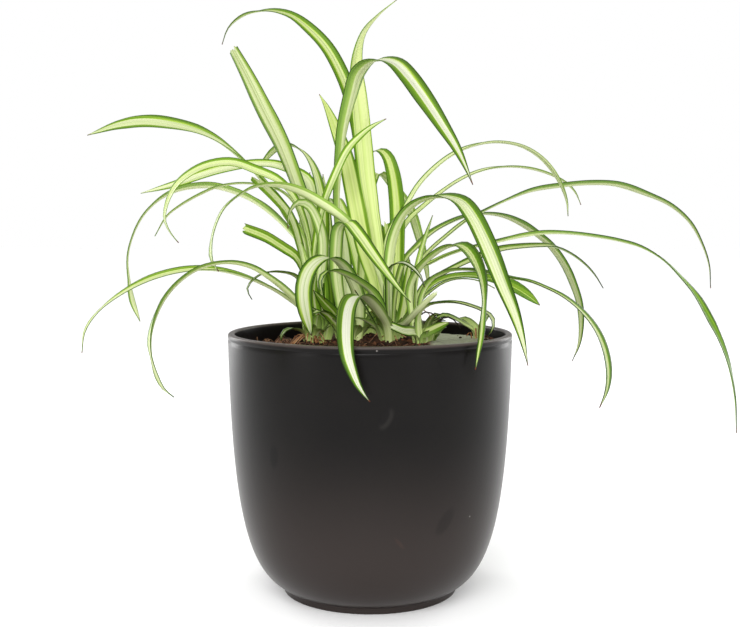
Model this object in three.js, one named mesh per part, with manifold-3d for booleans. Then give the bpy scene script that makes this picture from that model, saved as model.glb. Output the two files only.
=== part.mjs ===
// A spider plant in a dark cover pot. The pot is filled with compost, five shoots of long striped leaves
// stand in it, and a small plantlet grows near the right of the rim.
// Millimetres, +Z up, front towards -Y. The origin is the middle of the pot's flat foot.

import * as THREE from "three";
import { mergeVertices } from "three/addons/utils/BufferGeometryUtils.js";
import Module from "manifold-3d";

const wasm = await Module();
wasm.setup();

// Driving sizes of the pot
const potHeight = 138;
const rimRadius = 75;
const footRadius = 46.4;
const footHeight = 3.4;
const footRound = 0.6;
const footStep = 0.4; // the wall starts this far outside the foot ring
const bowlPull = [65.2, 12.4]; // [radius, height] that the wall's curve leans to near its foot
const wallPull = [73.5, 42.3]; // and on its way up
const lipThickness = 3.6;
const lipRound = 1.3;
const lipInnerRound = 1.04;
const lipDepth = 4; // the inner wall ends its curve this far below the rim
const floorThickness = 7;
const potSides = 52;
const outerSteps = 11;
const innerSteps = 5;

// Driving sizes of the filling
const clearance = 0.3;
const fillingInset = lipThickness + clearance + 0.15; // allows for the flats of the faceted wall
const compostLevel = 130.6;
const compostRise = 0.032; // the filling stands higher on the right, by this much for each mm across
const compostEdgeDrop = 1.2;
const compostRings = [66, 59, 50, 40, 30, 20, 10];
const compostSides = 40;
const heapHeight = 1.6;
const coarseCrumb = 0.7;
const fineCrumb = 0.45;

// Driving sizes of the crowns and their holes. The plantlet's are smaller and less deep.
const holeRadius = 8.2;
const holeSides = 16;
const crownFloor = 108;
const crownRadius = 5.2;
const crownTop = 141;
const crownSides = 10;
const rootDepth = 12; // how far below the level of the compost a leaf starts inside its crown
const rootSpread = 2;
const smallShare = 0.5;
const smallFloor = 120;
const smallTop = 140;
const smallRootDepth = 7;

// Driving sizes of a leaf
const bladeThickness = 0.75;
const tipWidth = 0.9;
const foldAtRoot = 36; // degrees that each half of the channelled blade rises from flat
const foldAtTip = 12;
const rootShare = 0.52; // of the full width at the root, which swells until widestFrom of the length
const widestFrom = 0.42;
const taperFrom = 0.5;
const taperPower = 3.2;
const stationStep = 29; // mm of leaf between two cross-sections where it runs straight
const stationTurn = 30; // degrees of bend that call for a cross-section of their own
const leastStations = 4;

// The leaves are laid out as they look from the front: across and up on the upright plane through the
// pot's axis, for an eye at this distance and height, and then set back by their depth along its sight.
const eyeDistance = 611;
const eyeHeight = 198;

const colours = {
  pot: 0x2f2b29,
  compost: 0x3a2a20,
  leaf: 0x7fa548,
  deepLeaf: 0x6f9a3c,
  youngLeaf: 0x5c8436,
};

// Each leaf is its full width, its cross-sections' roll in degrees from root to tip, and its course from
// the crown to the tip as points [across, up, deep]. A leaf with cut below 1 ends in a blunt cut there.
// A blade without roll lies level across its way outward: towards its tip, or at its heading in degrees.
const shoots = {
  shoot_left: {
    at: [-31, 8],
    colour: colours.leaf,
    leaves: [
      {
        width: 11.2,
        roll: [40, 45, 48, 55, 62, 72, 80, 66],
        cut: 0.74,
        course: [
          [-29, 150, 8], [-29, 168, 9], [-30.5, 186, 10], [-34.5, 204, 11], [-39, 217, 12],
          [-46.3, 236, 14], [-56, 255.5, 16], [-64.6, 273, 18], [-71, 285, 20],
        ],
      },
      {
        width: 7.5,
        roll: [30, 55, 80],
        course: [
          [-30, 160, 6], [-29.5, 178, 5], [-27.5, 192, 1], [-24, 206, -2], [-18.5, 220, -4],
          [-11.5, 234, -6], [-5, 241, -8], [1, 245.8, -10], [8.5, 249.8, -12],
        ],
      },
      {
        width: 10.8,
        roll: [30, 40, 55, 62, 25, -5, -32, -55, -55],
        course: [
          [-32, 160, 10], [-35, 184, 14], [-41, 195, 18], [-50, 209, 23], [-62, 224, 29],
          [-70, 231.3, 33], [-80, 238.8, 38], [-90, 243.5, 42], [-103, 246.8, 48], [-118, 248.3, 54],
          [-132, 246.5, 61], [-148, 241.3, 68],
        ],
      },
      {
        width: 10,
        roll: [0, -5, -14, -26, -30, -26, -40, -54, -60],
        course: [
          [-29, 165, 12], [-29, 190, 15], [-30, 207, 16], [-33, 217.5, 17], [-40, 222.3, 19],
          [-50, 225.8, 21], [-60, 226.3, 22], [-70, 225, 23], [-80, 223, 24], [-90, 220, 26],
          [-100, 216.5, 28], [-120.5, 211, 32],
        ],
      },
      {
        width: 8,
        roll: [0, 0, -10, 0],
        course: [
          [-30, 165, 7], [-33, 190, 5], [-39, 207, 3], [-48, 217.5, 1], [-60, 223, -1], [-72, 227, -4],
          [-84, 226, -6], [-94, 221.7, -8], [-102, 215, -10], [-107, 205, -12], [-108, 197, -12],
          [-105, 190, -12], [-101, 185, -12],
        ],
      },
      {
        width: 6.3,
        roll: [0, 0, 0],
        course: [
          [-31, 165, 10], [-35, 192, 12], [-40, 206, 13], [-48, 213, 14], [-60, 216, 14],
          [-70, 216.3, 14], [-80, 214.5, 15], [-90, 210.2, 17], [-100, 204.5, 19], [-107, 199, 21],
          [-113.5, 188.5, 22],
        ],
      },
      {
        width: 9.3,
        roll: [10, 15, 20, 18, 14, 12, 8, -15, -27, -20, 35],
        cut: 0.96,
        course: [
          [-31, 160, 9], [-34, 180, 12], [-42, 191, 17], [-50, 199.3, 22], [-60, 207, 27],
          [-70, 211.7, 32], [-83, 214.7, 38], [-98, 213.5, 44], [-109, 209, 48], [-119, 200, 52],
          [-125.2, 188.5, 54], [-128, 177, 55], [-127.3, 165, 55], [-126, 155, 55], [-122, 143.3, 54],
        ],
      },
      {
        width: 8,
        roll: [20, -45, -60],
        cut: 0.8,
        course: [
          [-33, 160, 9], [-36, 172, 7], [-39.5, 178, 6], [-45, 181.8, 4], [-50, 185, 2], [-55, 188, 0],
          [-66.5, 192.5, -4],
        ],
      },
      {
        width: 6.5,
        roll: [20, 40, 60, 80],
        course: [
          [-27, 160, 5], [-25, 175, 2], [-25, 188, 0], [-28, 198, -2], [-32, 204.5, -4],
          [-37, 206.3, -6], [-41.3, 203, -7], [-43.2, 197.5, -8], [-43.3, 192.5, -8],
        ],
      },
      {
        width: 8,
        roll: [0, -8, -14, -8],
        course: [
          [-34, 146, 5], [-45, 156.7, 0], [-60, 165, -7], [-78, 170.5, -15], [-95, 171, -23],
          [-115, 166.5, -32], [-132, 158, -40], [-145.2, 147.5, -46], [-151.5, 138, -49],
          [-153.2, 126.3, -50],
        ],
      },
      {
        width: 8.2,
        roll: [0, 5, 10, 12, 15, 30, 42, 38, 20],
        cut: 0.94,
        course: [
          [-36, 149, 0], [-44, 159, -8], [-52, 165.6, -15], [-62, 171.8, -24], [-74, 174.6, -35],
          [-86, 173, -47], [-96, 168.5, -56], [-106.5, 159, -66], [-113.5, 147, -73], [-117, 133, -77],
          [-115, 119, -79], [-110, 107.5, -80], [-104.5, 102.7, -80],
        ],
      },
      {
        width: 5.6,
        roll: [0, 10],
        course: [
          [-33, 155, 2], [-36, 164, 0], [-41, 168.3, -3], [-48, 169.8, -7], [-54, 169.6, -10],
          [-59.5, 167.3, -13], [-63.5, 163.7, -15], [-65, 160, -16], [-62.5, 155, -16],
        ],
      },
      {
        width: 7.5,
        roll: [25, 38, 20],
        course: [
          [-28, 165, 12], [-25.5, 185, 14], [-25, 200, 16], [-26.5, 213, 18], [-30, 225, 21],
          [-35, 232.6, 24], [-41, 236, 28], [-48, 235, 31], [-55, 228.5, 35], [-59, 221, 38],
        ],
      },
      {
        width: 6,
        roll: [60, 60, 60],
        course: [
          [-34, 160, 13], [-36, 175, 16], [-36.8, 188, 19], [-35.8, 200, 22], [-33.8, 211, 24],
          [-31.5, 222, 26],
        ],
      },
      {
        width: 6,
        roll: [0, 0],
        course: [[-34, 136.5, 4], [-38, 139, 1], [-43, 139.6, -3], [-46.5, 137, -5], [-47.3, 132.8, -6]],
      },
      {
        width: 6,
        heading: 90,
        roll: [0, 0],
        course: [[-28, 140, 9], [-26, 147, 11], [-24.5, 154, 12], [-24, 160, 13]],
      },
      {
        width: 8,
        roll: [0, -30, -45],
        cut: 0.72,
        course: [[-33, 160, 8], [-37, 182, 8], [-42.5, 199, 7], [-50, 208.5, 6], [-60, 218.5, 5]],
      },
    ],
  },
  shoot_middle: {
    at: [-10, 9],
    colour: colours.leaf,
    leaves: [
      {
        width: 12,
        roll: [55, 50, 46, 42, 32, 16, 0, 18, 40, 35, 20],
        course: [
          [-17, 150, 11], [-17.5, 170, 10], [-17, 190, 9], [-17.2, 210, 7], [-15.8, 228, 5],
          [-13.7, 245, 3], [-9.5, 262, -1], [-6, 273, -6], [-0.5, 279, -12], [6, 280.5, -18],
          [13, 278.5, -24], [20, 271.5, -30], [29, 259.5, -38], [38, 246, -45], [45, 235, -50],
          [50, 225, -54], [54, 215.5, -57],
        ],
      },
      {
        width: 9.5,
        roll: [-60, -50, -42, -45, 15],
        course: [
          [-6, 150, 17], [-4, 170, 20], [-3, 190, 20], [-3.5, 210, 20], [-4.5, 230, 20], [-7, 248, 20],
          [-11.3, 264, 21], [-16.5, 276.5, 23], [-23, 287.3, 25], [-31.5, 296.2, 28], [-41, 303, 31],
          [-52, 305.5, 34], [-62, 304.3, 37], [-69, 301, 40], [-74, 296, 42], [-77, 288, 43],
        ],
      },
      {
        width: 8.5,
        roll: [0, 0, 10, 0],
        course: [
          [-15, 150, 4], [-17.5, 168, 0], [-17.5, 184, -6], [-16, 193.5, -12], [-12, 196, -18],
          [-6, 189.5, -26], [1, 179.5, -33], [8, 170, -39], [15, 161, -44], [21.5, 153.5, -47],
        ],
      },
      {
        width: 9,
        roll: [0, 0, -10, -20],
        course: [
          [-6, 140, 3], [-5.8, 148, 0], [-6.5, 157, -4], [-10, 166, -9], [-15, 173.5, -14],
          [-21, 177.3, -18], [-27, 176, -23], [-32, 171, -27], [-34.8, 163.5, -30], [-35.2, 156, -32],
          [-34, 148, -33], [-32.3, 141, -33], [-31, 135.8, -32],
        ],
      },
      {
        width: 5.5,
        roll: [20, 20],
        course: [[-17, 139, 6], [-22, 144, 4], [-28, 149, 1], [-33, 151.5, -2]],
      },
      {
        width: 5,
        roll: [40, 60],
        course: [[-15, 150, 8], [-19, 165, 7], [-21.5, 178, 6], [-24, 190, 5], [-27, 201, 4]],
      },
      {
        width: 8,
        roll: [0, 0],
        course: [
          [-13, 145, 14], [-17, 160, 19], [-20, 175, 23], [-22.5, 190, 26], [-23.5, 205, 29],
          [-24.7, 221, 33],
        ],
      },
      {
        width: 7,
        roll: [30, 30],
        course: [[-14, 140, 14], [-18, 150, 19], [-22, 160, 23], [-24, 170, 26], [-24, 180, 28]],
      },
      {
        width: 7,
        roll: [-40, -20],
        course: [[-6, 142, 13], [-2, 152, 18], [2, 162, 23], [5, 172, 27.6], [7, 184, 31.4]],
      },
    ],
  },
  shoot_right: {
    at: [11, 5],
    colour: colours.deepLeaf,
    leaves: [
      {
        width: 10.5,
        heading: 90,
        roll: [40, 45, 45, 45, 40, 15, 0, 20, 48, 85, 115],
        course: [
          [8, 150, 8], [5.5, 165, 9], [3, 187, 11], [0.5, 203, 12], [-2, 220, 13], [-3.5, 235, 14],
          [-5, 250, 15], [-6.3, 263, 17], [-7.3, 276, 19], [-6, 287, 21], [-3, 295, 23], [4, 303, 26],
          [14, 311, 30],
        ],
      },
      {
        width: 10,
        heading: 90,
        roll: [0, 0, 0],
        course: [
          [7, 150, 5], [3, 165, 6], [-3, 183, 6], [-7, 202, 7], [-9.5, 215, 13], [-12, 227, 17],
          [-15, 237, 19], [-19, 247.5, 20], [-23, 256.5, 20], [-26.5, 262.5, 20],
        ],
      },
      {
        width: 9,
        roll: [-52, -44, -12],
        course: [
          [14.8, 150, 14], [14.6, 165, 16], [14.6, 180, 18], [14.6, 195, 20], [13.8, 210, 22],
          [12, 222, 24], [9, 230.5, 27], [5, 233.6, 31], [0, 231.6, 35], [-4, 224, 38],
        ],
      },
      {
        width: 8,
        roll: [0, 10, 0],
        course: [
          [6, 150, 15], [3, 180, 22], [1, 200, 26], [0, 214, 29], [3.5, 221.8, 31], [8, 219.6, 33],
          [13, 213.4, 35], [18, 207, 37], [22, 200, 38], [25.2, 190, 39], [28, 180, 40],
          [30, 170, 40], [31.5, 157.5, 40],
        ],
      },
      {
        width: 7.6,
        roll: [0, 5, 8, 12, 34, 22, 8, 3, 0],
        course: [
          [9, 150, 2], [4, 170, -1], [-3, 186, -4], [-14, 197.5, -7], [-25, 205.3, -9], [-35, 211, -11],
          [-45, 214.6, -14], [-55, 215.2, -17], [-62, 214, -20], [-70, 209.5, -23], [-77, 203, -26],
          [-81.5, 194, -28], [-83.8, 184, -29], [-83.5, 176, -30], [-80, 169.8, -30],
        ],
      },
      {
        width: 6.5,
        roll: [0, 0, 0],
        course: [
          [9, 150, 7], [8, 165, 10], [8, 180, 13], [11, 192, 15], [17.8, 202.2, 17], [25.8, 215.6, 20],
          [35.6, 225.8, 23], [44.4, 232, 26], [55, 236.3, 30], [66, 237.8, 34], [78, 236, 38],
          [87, 231.5, 41], [94, 225, 43], [100, 216, 45], [103.5, 207, 46], [104.3, 199, 46],
        ],
      },
      {
        width: 5.5,
        roll: [0, 0, 0],
        course: [
          [10, 160, 14], [11.5, 175, 19], [15, 188, 24], [21, 197.5, 28], [28, 204, 32],
          [36, 210.5, 37], [45, 216.8, 46], [55, 221.8, 57], [65, 224.5, 68], [76, 225, 78],
          [87, 223.3, 88], [96, 220.3, 95], [103, 216.5, 100], [108, 211.5, 103], [111, 205, 105],
        ],
      },
      {
        width: 11.5,
        roll: [0, 3, 8, 12, 5, 20, 25, 20, 10],
        course: [
          [10, 150, 2], [10.5, 170, 0], [12.5, 187, -3], [17.5, 199, -8], [24.5, 206, -14],
          [33, 209.3, -21], [41, 209.3, -28], [48, 206.5, -34], [54, 199, -40], [59.5, 188.5, -45],
          [65, 176, -50], [70.4, 162.5, -54], [76.2, 148.5, -58], [80.5, 135, -61], [84.1, 119.6, -63],
        ],
      },
      {
        width: 8.2,
        roll: [0, 0, 0],
        course: [
          [14, 160, 12], [18.5, 175.8, 16], [24.8, 183, 20], [32.3, 190.3, 26], [41, 195.4, 34],
          [50, 198.9, 42], [60, 200.6, 49], [70, 199.2, 55], [79, 195.3, 60], [87, 190, 64],
          [95, 183.5, 67], [102.5, 173.5, 69], [107.5, 163, 72], [111, 152.5, 74], [112, 141, 75],
          [111, 131, 75], [107.5, 122, 74],
        ],
      },
      {
        width: 9.5,
        roll: [0, 0, 0],
        course: [
          [9, 140, -3], [5.5, 147, -12], [1, 153, -22], [-4, 157, -34], [-9, 156, -47], [-12, 150, -60],
          [-13, 141.5, -71], [-13, 133, -78], [-12, 124.5, -82], [-9.5, 116.5, -84], [-6.5, 109.5, -85],
          [-3.5, 104.7, -85], [0, 100.3, -85],
        ],
      },
      {
        width: 6.5,
        roll: [0, 10],
        course: [
          [7, 142, 0], [5.5, 150, -5], [1.5, 158.5, -11], [-5, 164, -17], [-12, 168, -22],
          [-19, 170.5, -25], [-24, 169.3, -27], [-26.3, 165, -28], [-25.5, 159.5, -29], [-24, 155, -29],
        ],
      },
      {
        width: 4,
        roll: [20, 20],
        course: [
          [9.5, 158, -5], [9.5, 168, -8], [12, 173.3, -13], [17, 174.7, -17], [22, 172.3, -21],
          [26.5, 167.5, -24], [29, 161.5, -25],
        ],
      },
      {
        width: 5.5,
        heading: 90,
        roll: [0, 0],
        cut: 0.7,
        course: [[9, 160, 12], [9.5, 175, 15], [9.5, 186, 17], [8.5, 195, 18]],
      },
      {
        width: 4.5,
        roll: [20, 20],
        course: [[5, 138, 0], [1, 142, -3], [-4, 144.8, -5], [-9, 145.5, -7]],
      },
      {
        width: 3.4,
        roll: [-50, -50],
        cut: 0.88,
        course: [[13, 139, 0], [18.5, 142, -13], [24, 148, -23], [30, 154, -28], [35, 158.5, -31]],
      },
    ],
  },
  shoot_front: {
    at: [29, -8],
    colour: colours.deepLeaf,
    leaves: [
      {
        width: 9.5,
        roll: [26, 34, 38, 34, 26, 10, 0, -30, -42, -25, 0],
        course: [
          [22, 150, -8], [21.5, 161, -10], [26, 171, -14], [34, 179, -20], [42, 183.5, -26],
          [47.7, 184, -31], [52.6, 180.3, -36], [56.5, 173.4, -41], [59.3, 165, -46], [60.3, 155, -50],
          [59.8, 145, -54], [58.9, 135, -57.5], [57.4, 126, -59.5], [56.1, 117.5, -61],
        ],
      },
      {
        width: 8.1,
        roll: [0, 0, 0, 5, 20],
        course: [
          [23, 150, -1], [23, 164, 5], [26, 174, 8], [32.3, 181.6, 13], [40.4, 188.7, 19],
          [50.4, 196.6, 29], [60, 202, 35], [72, 207.8, 42], [84, 212.3, 48], [100, 214.9, 56],
          [115, 216.2, 63], [130, 215.4, 70], [144.6, 210.7, 76], [158.4, 204.6, 81],
          [168.8, 195.6, 85], [175.4, 184.2, 88], [179.3, 173, 90], [180.3, 161, 90],
        ],
      },
      {
        width: 8.5,
        roll: [24, 30, 18, 6, 0, -3, -12, 5, 22, 0, 0],
        course: [
          [24, 158, -8], [26.5, 170.8, -9], [33, 175, -11], [42, 179.2, -13], [55, 183.2, -16],
          [67, 186, -19], [80, 189, -23], [93, 190.6, -27], [106, 190.3, -31], [120, 188.5, -35],
          [133, 186, -39], [144.6, 182.4, -43], [155.2, 176, -46], [164.5, 166.8, -49],
          [172.6, 157.2, -51], [179.3, 146.1, -53], [186, 133.4, -55], [191.5, 118.5, -57],
          [195, 101.5, -58], [196, 83.5, -58],
        ],
      },
      {
        width: 7.5,
        roll: [0, 15, 5],
        course: [
          [24, 152, -3], [30, 163.5, 1], [38, 168.3, 4], [47, 173, 6], [57, 177.5, 8], [69, 181.5, 11],
          [80, 183, 13], [90, 183.6, 16], [97, 183.4, 18], [105, 180, 20], [113, 174.3, 22],
          [119, 168, 24], [123.5, 161, 25],
        ],
      },
      {
        width: 7,
        roll: [0, 0, 0],
        course: [
          [27, 155, -12], [32, 165, -14], [38, 169, -17], [45, 171, -20], [54, 171, -24],
          [64, 169.2, -29], [74, 166.8, -34], [84, 165, -39], [93, 161.5, -43], [102, 157, -48],
          [110, 151, -52], [117, 143.5, -55], [122, 135.5, -58], [125.5, 126, -60], [127, 116, -61],
          [126, 106, -61], [122.5, 97, -60],
        ],
      },
      {
        width: 7,
        roll: [0, 20, 40],
        course: [
          [26, 152, -4], [32, 162, -4], [40, 166.3, -4], [50, 167.8, -4], [60, 167, -5],
          [70, 164.5, -6], [77, 161.3, -7], [83, 157.5, -8], [90, 152, -9],
        ],
      },
      {
        width: 4,
        roll: [0, 0],
        course: [
          [26, 152, 3], [33, 160, 7], [39, 164, 8], [46, 166, 9], [54, 165.8, 10], [60, 164, 11],
          [66, 161, 12],
        ],
      },
      {
        width: 4,
        heading: -60,
        roll: [0, 0],
        course: [
          [23, 155, -2], [24, 165, 0], [25.5, 174, 2], [28, 184, 4], [30.5, 192, 5], [33, 199.5, 6],
        ],
      },
      {
        width: 6,
        roll: [0, 0],
        course: [
          [26, 147, -14], [31, 152.3, -17], [38, 153.8, -20], [46, 153.6, -22], [54, 151.5, -24],
          [60, 149, -25], [64.3, 146, -26], [65.5, 142, -26], [64.3, 138.3, -26], [62, 135.3, -25],
        ],
      },
      {
        width: 6.6,
        roll: [-40, -60],
        cut: 0.8,
        course: [[25, 137, -13], [18, 138.3, -20], [11.5, 141, -23]],
      },
      {
        width: 7.8,
        roll: [40, 62],
        course: [[28.5, 136, -12.6], [32, 138, -16], [37, 140.4, -18], [42, 142.8, -20]],
      },
    ],
  },
  shoot_back: {
    at: [-2, 38],
    colour: colours.leaf,
    leaves: [
      {
        width: 9,
        roll: [0, 0],
        course: [
          [-6, 150, 45], [-11, 165, 50], [-17, 178, 58], [-22, 186, 70], [-26, 188, 84], [-28, 182, 98],
          [-29, 170, 110], [-29, 156, 118],
        ],
      },
      {
        width: 9,
        roll: [0, 0],
        course: [
          [0, 155, 48], [2, 175, 62], [4, 188, 80], [5, 190, 100], [6, 182, 118], [7, 168, 131],
          [8, 152, 140],
        ],
      },
      {
        width: 8.5,
        roll: [0, 10],
        course: [
          [4, 154, 46], [9, 168, 58], [14, 177, 73], [17, 178, 90], [18, 170, 105], [18, 155, 116],
          [18, 142, 122],
        ],
      },
      {
        width: 8,
        roll: [0, 0],
        course: [
          [-8, 150, 44], [-14, 163, 50], [-20, 171, 60], [-25, 171, 73], [-28, 162, 84], [-29, 150, 91],
        ],
      },
      {
        width: 8,
        roll: [20, 20],
        course: [[-1, 150, 42], [-1, 166, 46], [-1.5, 182, 50], [-3, 197, 55], [-5, 209, 61]],
      },
      {
        width: 7.5,
        roll: [0, 10],
        course: [
          [-4, 152, 48], [-6, 164, 60], [-8, 168, 76], [-9, 162, 92], [-9, 150, 103], [-9, 138, 110],
        ],
      },
      {
        width: 8,
        roll: [0, 0],
        course: [
          [-4, 160, 42], [-9, 184, 47], [-14, 200, 56], [-18, 208, 69], [-21, 205, 84], [-22, 193, 97],
        ],
      },
      {
        width: 7,
        roll: [-20, -20],
        course: [[-8, 146, 40], [-13, 158, 42], [-18, 172, 44], [-22, 186, 47], [-25, 200, 51]],
      },
    ],
  },
  plantlet: {
    at: [57.5, 5],
    colour: colours.youngLeaf,
    small: true,
    leaves: [
      {
        width: 4.6,
        roll: [-30, -30],
        course: [
          [55, 138.5, 4], [50, 142, 2], [45, 145, 0], [40, 146.8, -2], [36.5, 146, -3], [34, 143.6, -4],
        ],
      },
      {
        width: 4,
        roll: [-30, -30],
        course: [[56, 139.5, 6], [53, 143, 8], [49.5, 145, 10], [45.5, 144.2, 12]],
      },
      {
        width: 4,
        roll: [0, 0],
        course: [[59, 140, 8], [61, 145, 13], [63, 147, 19], [65, 144.5, 26]],
      },
    ],
  },
};

const degrees = Math.PI / 180;
const up = new THREE.Vector3(0, 0, 1);
const smooth = (from, to, x) => THREE.MathUtils.smoothstep(x, from, to);

// Returns the merged, closed position-only geometry as a solid that can be joined and cut.
function solidOf(geometry) {
  geometry.deleteAttribute("normal");
  geometry.deleteAttribute("uv");
  const merged = mergeVertices(geometry, 1e-4);
  return new wasm.Manifold(
    new wasm.Mesh({
      numProp: 3,
      vertProperties: merged.attributes.position.array,
      triVerts: new Uint32Array(merged.index.array),
    }),
  );
}

// Turns a solid into a named mesh of one colour.
function meshOf(name, solid, colour, roughness) {
  const made = solid.getMesh();
  const geometry = new THREE.BufferGeometry();
  geometry.setAttribute("position", new THREE.BufferAttribute(made.vertProperties, made.numProp));
  geometry.setIndex(new THREE.BufferAttribute(made.triVerts, 1));
  geometry.computeVertexNormals();
  const material = new THREE.MeshStandardMaterial({ color: colour, roughness, metalness: 0 });
  const mesh = new THREE.Mesh(geometry, material);
  mesh.name = name;
  return mesh;
}

// Spins a profile of [radius, height] points round the upright axis.
function spun(profile, sides) {
  const points = profile.map(([radius, height]) => new THREE.Vector2(radius, height));
  return new THREE.LatheGeometry(points, sides).rotateX(Math.PI / 2);
}

// Points of a quarter round between two angles, without its first point.
function rounded([radius, height], size, from, to, steps) {
  return Array.from({ length: steps }, (_, i) => {
    const angle = (from + ((to - from) * (i + 1)) / steps) * degrees;
    return [radius + size * Math.cos(angle), height + size * Math.sin(angle)];
  });
}

// The bowl-shaped curve of a wall, from its foot to just under the lip.
function wallCurve(inset, lowest, highest, steps) {
  const curve = new THREE.CubicBezierCurve(
    new THREE.Vector2(footRadius + footStep - inset, lowest),
    new THREE.Vector2(bowlPull[0] - inset, bowlPull[1] + inset),
    new THREE.Vector2(wallPull[0] - inset, wallPull[1] + inset),
    new THREE.Vector2(rimRadius - inset, highest),
  );
  return curve.getPoints(steps).map((p) => [p.x, p.y]);
}

function potProfile() {
  const inner = rimRadius - lipThickness;
  return [
    [0, 0],
    [footRadius - footRound, 0],
    [footRadius, footRound],
    [footRadius, footHeight - footRound],
    ...wallCurve(0, footHeight, potHeight - lipRound, outerSteps),
    ...rounded([rimRadius - lipRound, potHeight - lipRound], lipRound, 0, 90, 3),
    ...rounded([inner + lipInnerRound, potHeight - lipInnerRound], lipInnerRound, 90, 180, 2),
    ...wallCurve(lipThickness, floorThickness, potHeight - lipDepth, innerSteps).reverse(),
    [0, floorThickness],
  ];
}

// Height of the compost: a slope, a low heap round the shoots, and crumbs that fade out on the right.
function compostHeight(x, y) {
  const heap = heapHeight * Math.exp(-((x + 2) ** 2 / 1100 + (y - 8) ** 2 / 700));
  const coarse = coarseCrumb * Math.sin(0.31 * x + 0.8) * Math.cos(0.27 * y - 0.4);
  const fine = fineCrumb * Math.sin(0.62 * x - 0.55 * y);
  const rough = 1 - 0.75 * smooth(25, 45, x);
  return compostLevel + compostRise * x + heap + (coarse + fine) * rough;
}

function compost() {
  const lowest = floorThickness + clearance;
  const profile = [
    [0, lowest],
    ...wallCurve(fillingInset, lowest, potHeight - lipDepth, innerSteps).slice(0, -1),
    [rimRadius - fillingInset - 0.25, compostLevel - compostEdgeDrop],
    ...compostRings.map((radius) => [radius, compostLevel]),
    [0, compostLevel],
  ];
  const geometry = spun(profile, compostSides);
  const position = geometry.attributes.position;
  for (let i = 0; i < position.count; i += 1) {
    const [x, y, z] = [position.getX(i), position.getY(i), position.getZ(i)];
    if (z > compostLevel - compostEdgeDrop - 0.5) {
      position.setZ(i, z - compostLevel + compostHeight(x, y));
    }
  }
  return Object.values(shoots).reduce((body, shoot) => body.subtract(hole(shoot)), solidOf(geometry));
}

// The plain hole that a crown stands in.
function hole({ at: [x, y], small }) {
  const radius = small ? holeRadius * smallShare : holeRadius;
  const lowest = (small ? smallFloor : crownFloor) - clearance;
  const profile = [
    [0, lowest],
    [radius, lowest],
    [radius, potHeight],
    [0, potHeight],
  ];
  return solidOf(spun(profile, holeSides).translate(x, y, 0));
}

// The short stout crown that the leaves of a shoot grow from.
function crown({ at: [x, y], small }) {
  const radius = small ? crownRadius * smallShare : crownRadius;
  const lowest = small ? smallFloor : crownFloor;
  const highest = small ? smallTop : crownTop;
  const profile = [
    [0, lowest],
    [radius * 0.6, lowest],
    [radius, lowest + 6],
    [radius, compostLevel + 1],
    [radius * 0.55, highest - 3],
    [0, highest],
  ];
  return solidOf(spun(profile, crownSides).translate(x, y, 0));
}

// Joins solids into one and fills what they seal off between them.
function fused(pieces) {
  const parts = wasm.Manifold.union(pieces).decompose();
  return parts.reduce((largest, part) => (part.volume() > largest.volume() ? part : largest));
}

// Carries a point of the front view back to its depth along the line of sight.
function placed([across, height, deep]) {
  const reach = (eyeDistance + deep) / eyeDistance;
  return new THREE.Vector3(across * reach, deep, eyeHeight + (height - eyeHeight) * reach);
}

// Cross-sections crowd where the leaf bends and thin out where it runs straight.
function stations(curve, length) {
  const samples = 160;
  const cost = [0];
  for (let i = 1; i <= samples; i += 1) {
    const bend = curve.getTangentAt(i / samples).angleTo(curve.getTangentAt((i - 1) / samples));
    cost.push(cost[i - 1] + length / samples / stationStep + bend / (stationTurn * degrees));
  }
  const count = Math.max(leastStations, Math.ceil(cost[samples]));
  const along = [];
  for (let step = 0, i = 0; step <= count; step += 1) {
    while (i < samples && cost[i] < (cost[samples] * step) / count - 1e-9) {
      i += 1;
    }
    along.push(i / samples);
  }
  return along;
}

// Value at t of numbers that are spread evenly from root to tip.
function spread(values, t) {
  const place = t * (values.length - 1);
  const i = Math.min(Math.floor(place), values.length - 2);
  return values.length < 2 ? values[0] : THREE.MathUtils.lerp(values[i], values[i + 1], place - i);
}

// Share of the full width at t: narrow at the root, widest at mid length, drawn out to a fine tip.
function fullness(t) {
  const swell = rootShare + (1 - rootShare) * smooth(0, widestFrom, t);
  const taper = t < taperFrom ? 1 : 1 - ((t - taperFrom) / (1 - taperFrom)) ** taperPower;
  return swell * taper;
}

// One channelled blade from the crown to its tip, as a closed solid.
function blade({ width, roll, course, cut = 1, heading }, { at: [x, y], small }) {
  const points = course.map(placed);
  const away = new THREE.Vector3(points[0].x - x, points[0].y - y, 0).clampLength(0, rootSpread);
  const root = new THREE.Vector3(x, y, compostLevel - (small ? smallRootDepth : rootDepth)).add(away);
  const curve = new THREE.CatmullRomCurve3([root, ...points], false, "centripetal");
  const far = points[points.length - 1];
  const azimuth = heading === undefined ? Math.atan2(far.y - y, far.x - x) : heading * degrees;
  const outward = new THREE.Vector3(Math.cos(azimuth), Math.sin(azimuth), 0);
  const level = new THREE.Vector3().crossVectors(up, outward);
  const positions = [];
  const along = stations(curve, curve.getLength());
  for (const t of along) {
    const tangent = curve.getTangentAt(t);
    const side = level.clone().addScaledVector(tangent, -level.dot(tangent)).normalize();
    side.applyAxisAngle(tangent, spread(roll, t) * degrees);
    const face = new THREE.Vector3().crossVectors(tangent, side);
    const half = Math.max(tipWidth, width * fullness(t * cut)) / 2;
    const fold = THREE.MathUtils.lerp(foldAtRoot, foldAtTip, t) * degrees;
    const middle = curve.getPointAt(t);
    for (const [sideways, rise] of [[-1, 1], [0, 1], [1, 1], [1, -1], [0, -1], [-1, -1]]) {
      const lift = (Math.abs(sideways) - 0.5) * half * Math.sin(fold) + (rise * bladeThickness) / 2;
      const corner = middle
        .clone()
        .addScaledVector(side, sideways * half * Math.cos(fold))
        .addScaledVector(face, lift);
      positions.push(corner.x, corner.y, corner.z);
    }
  }
  return solidOf(closedStrip(positions, along.length));
}

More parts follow.
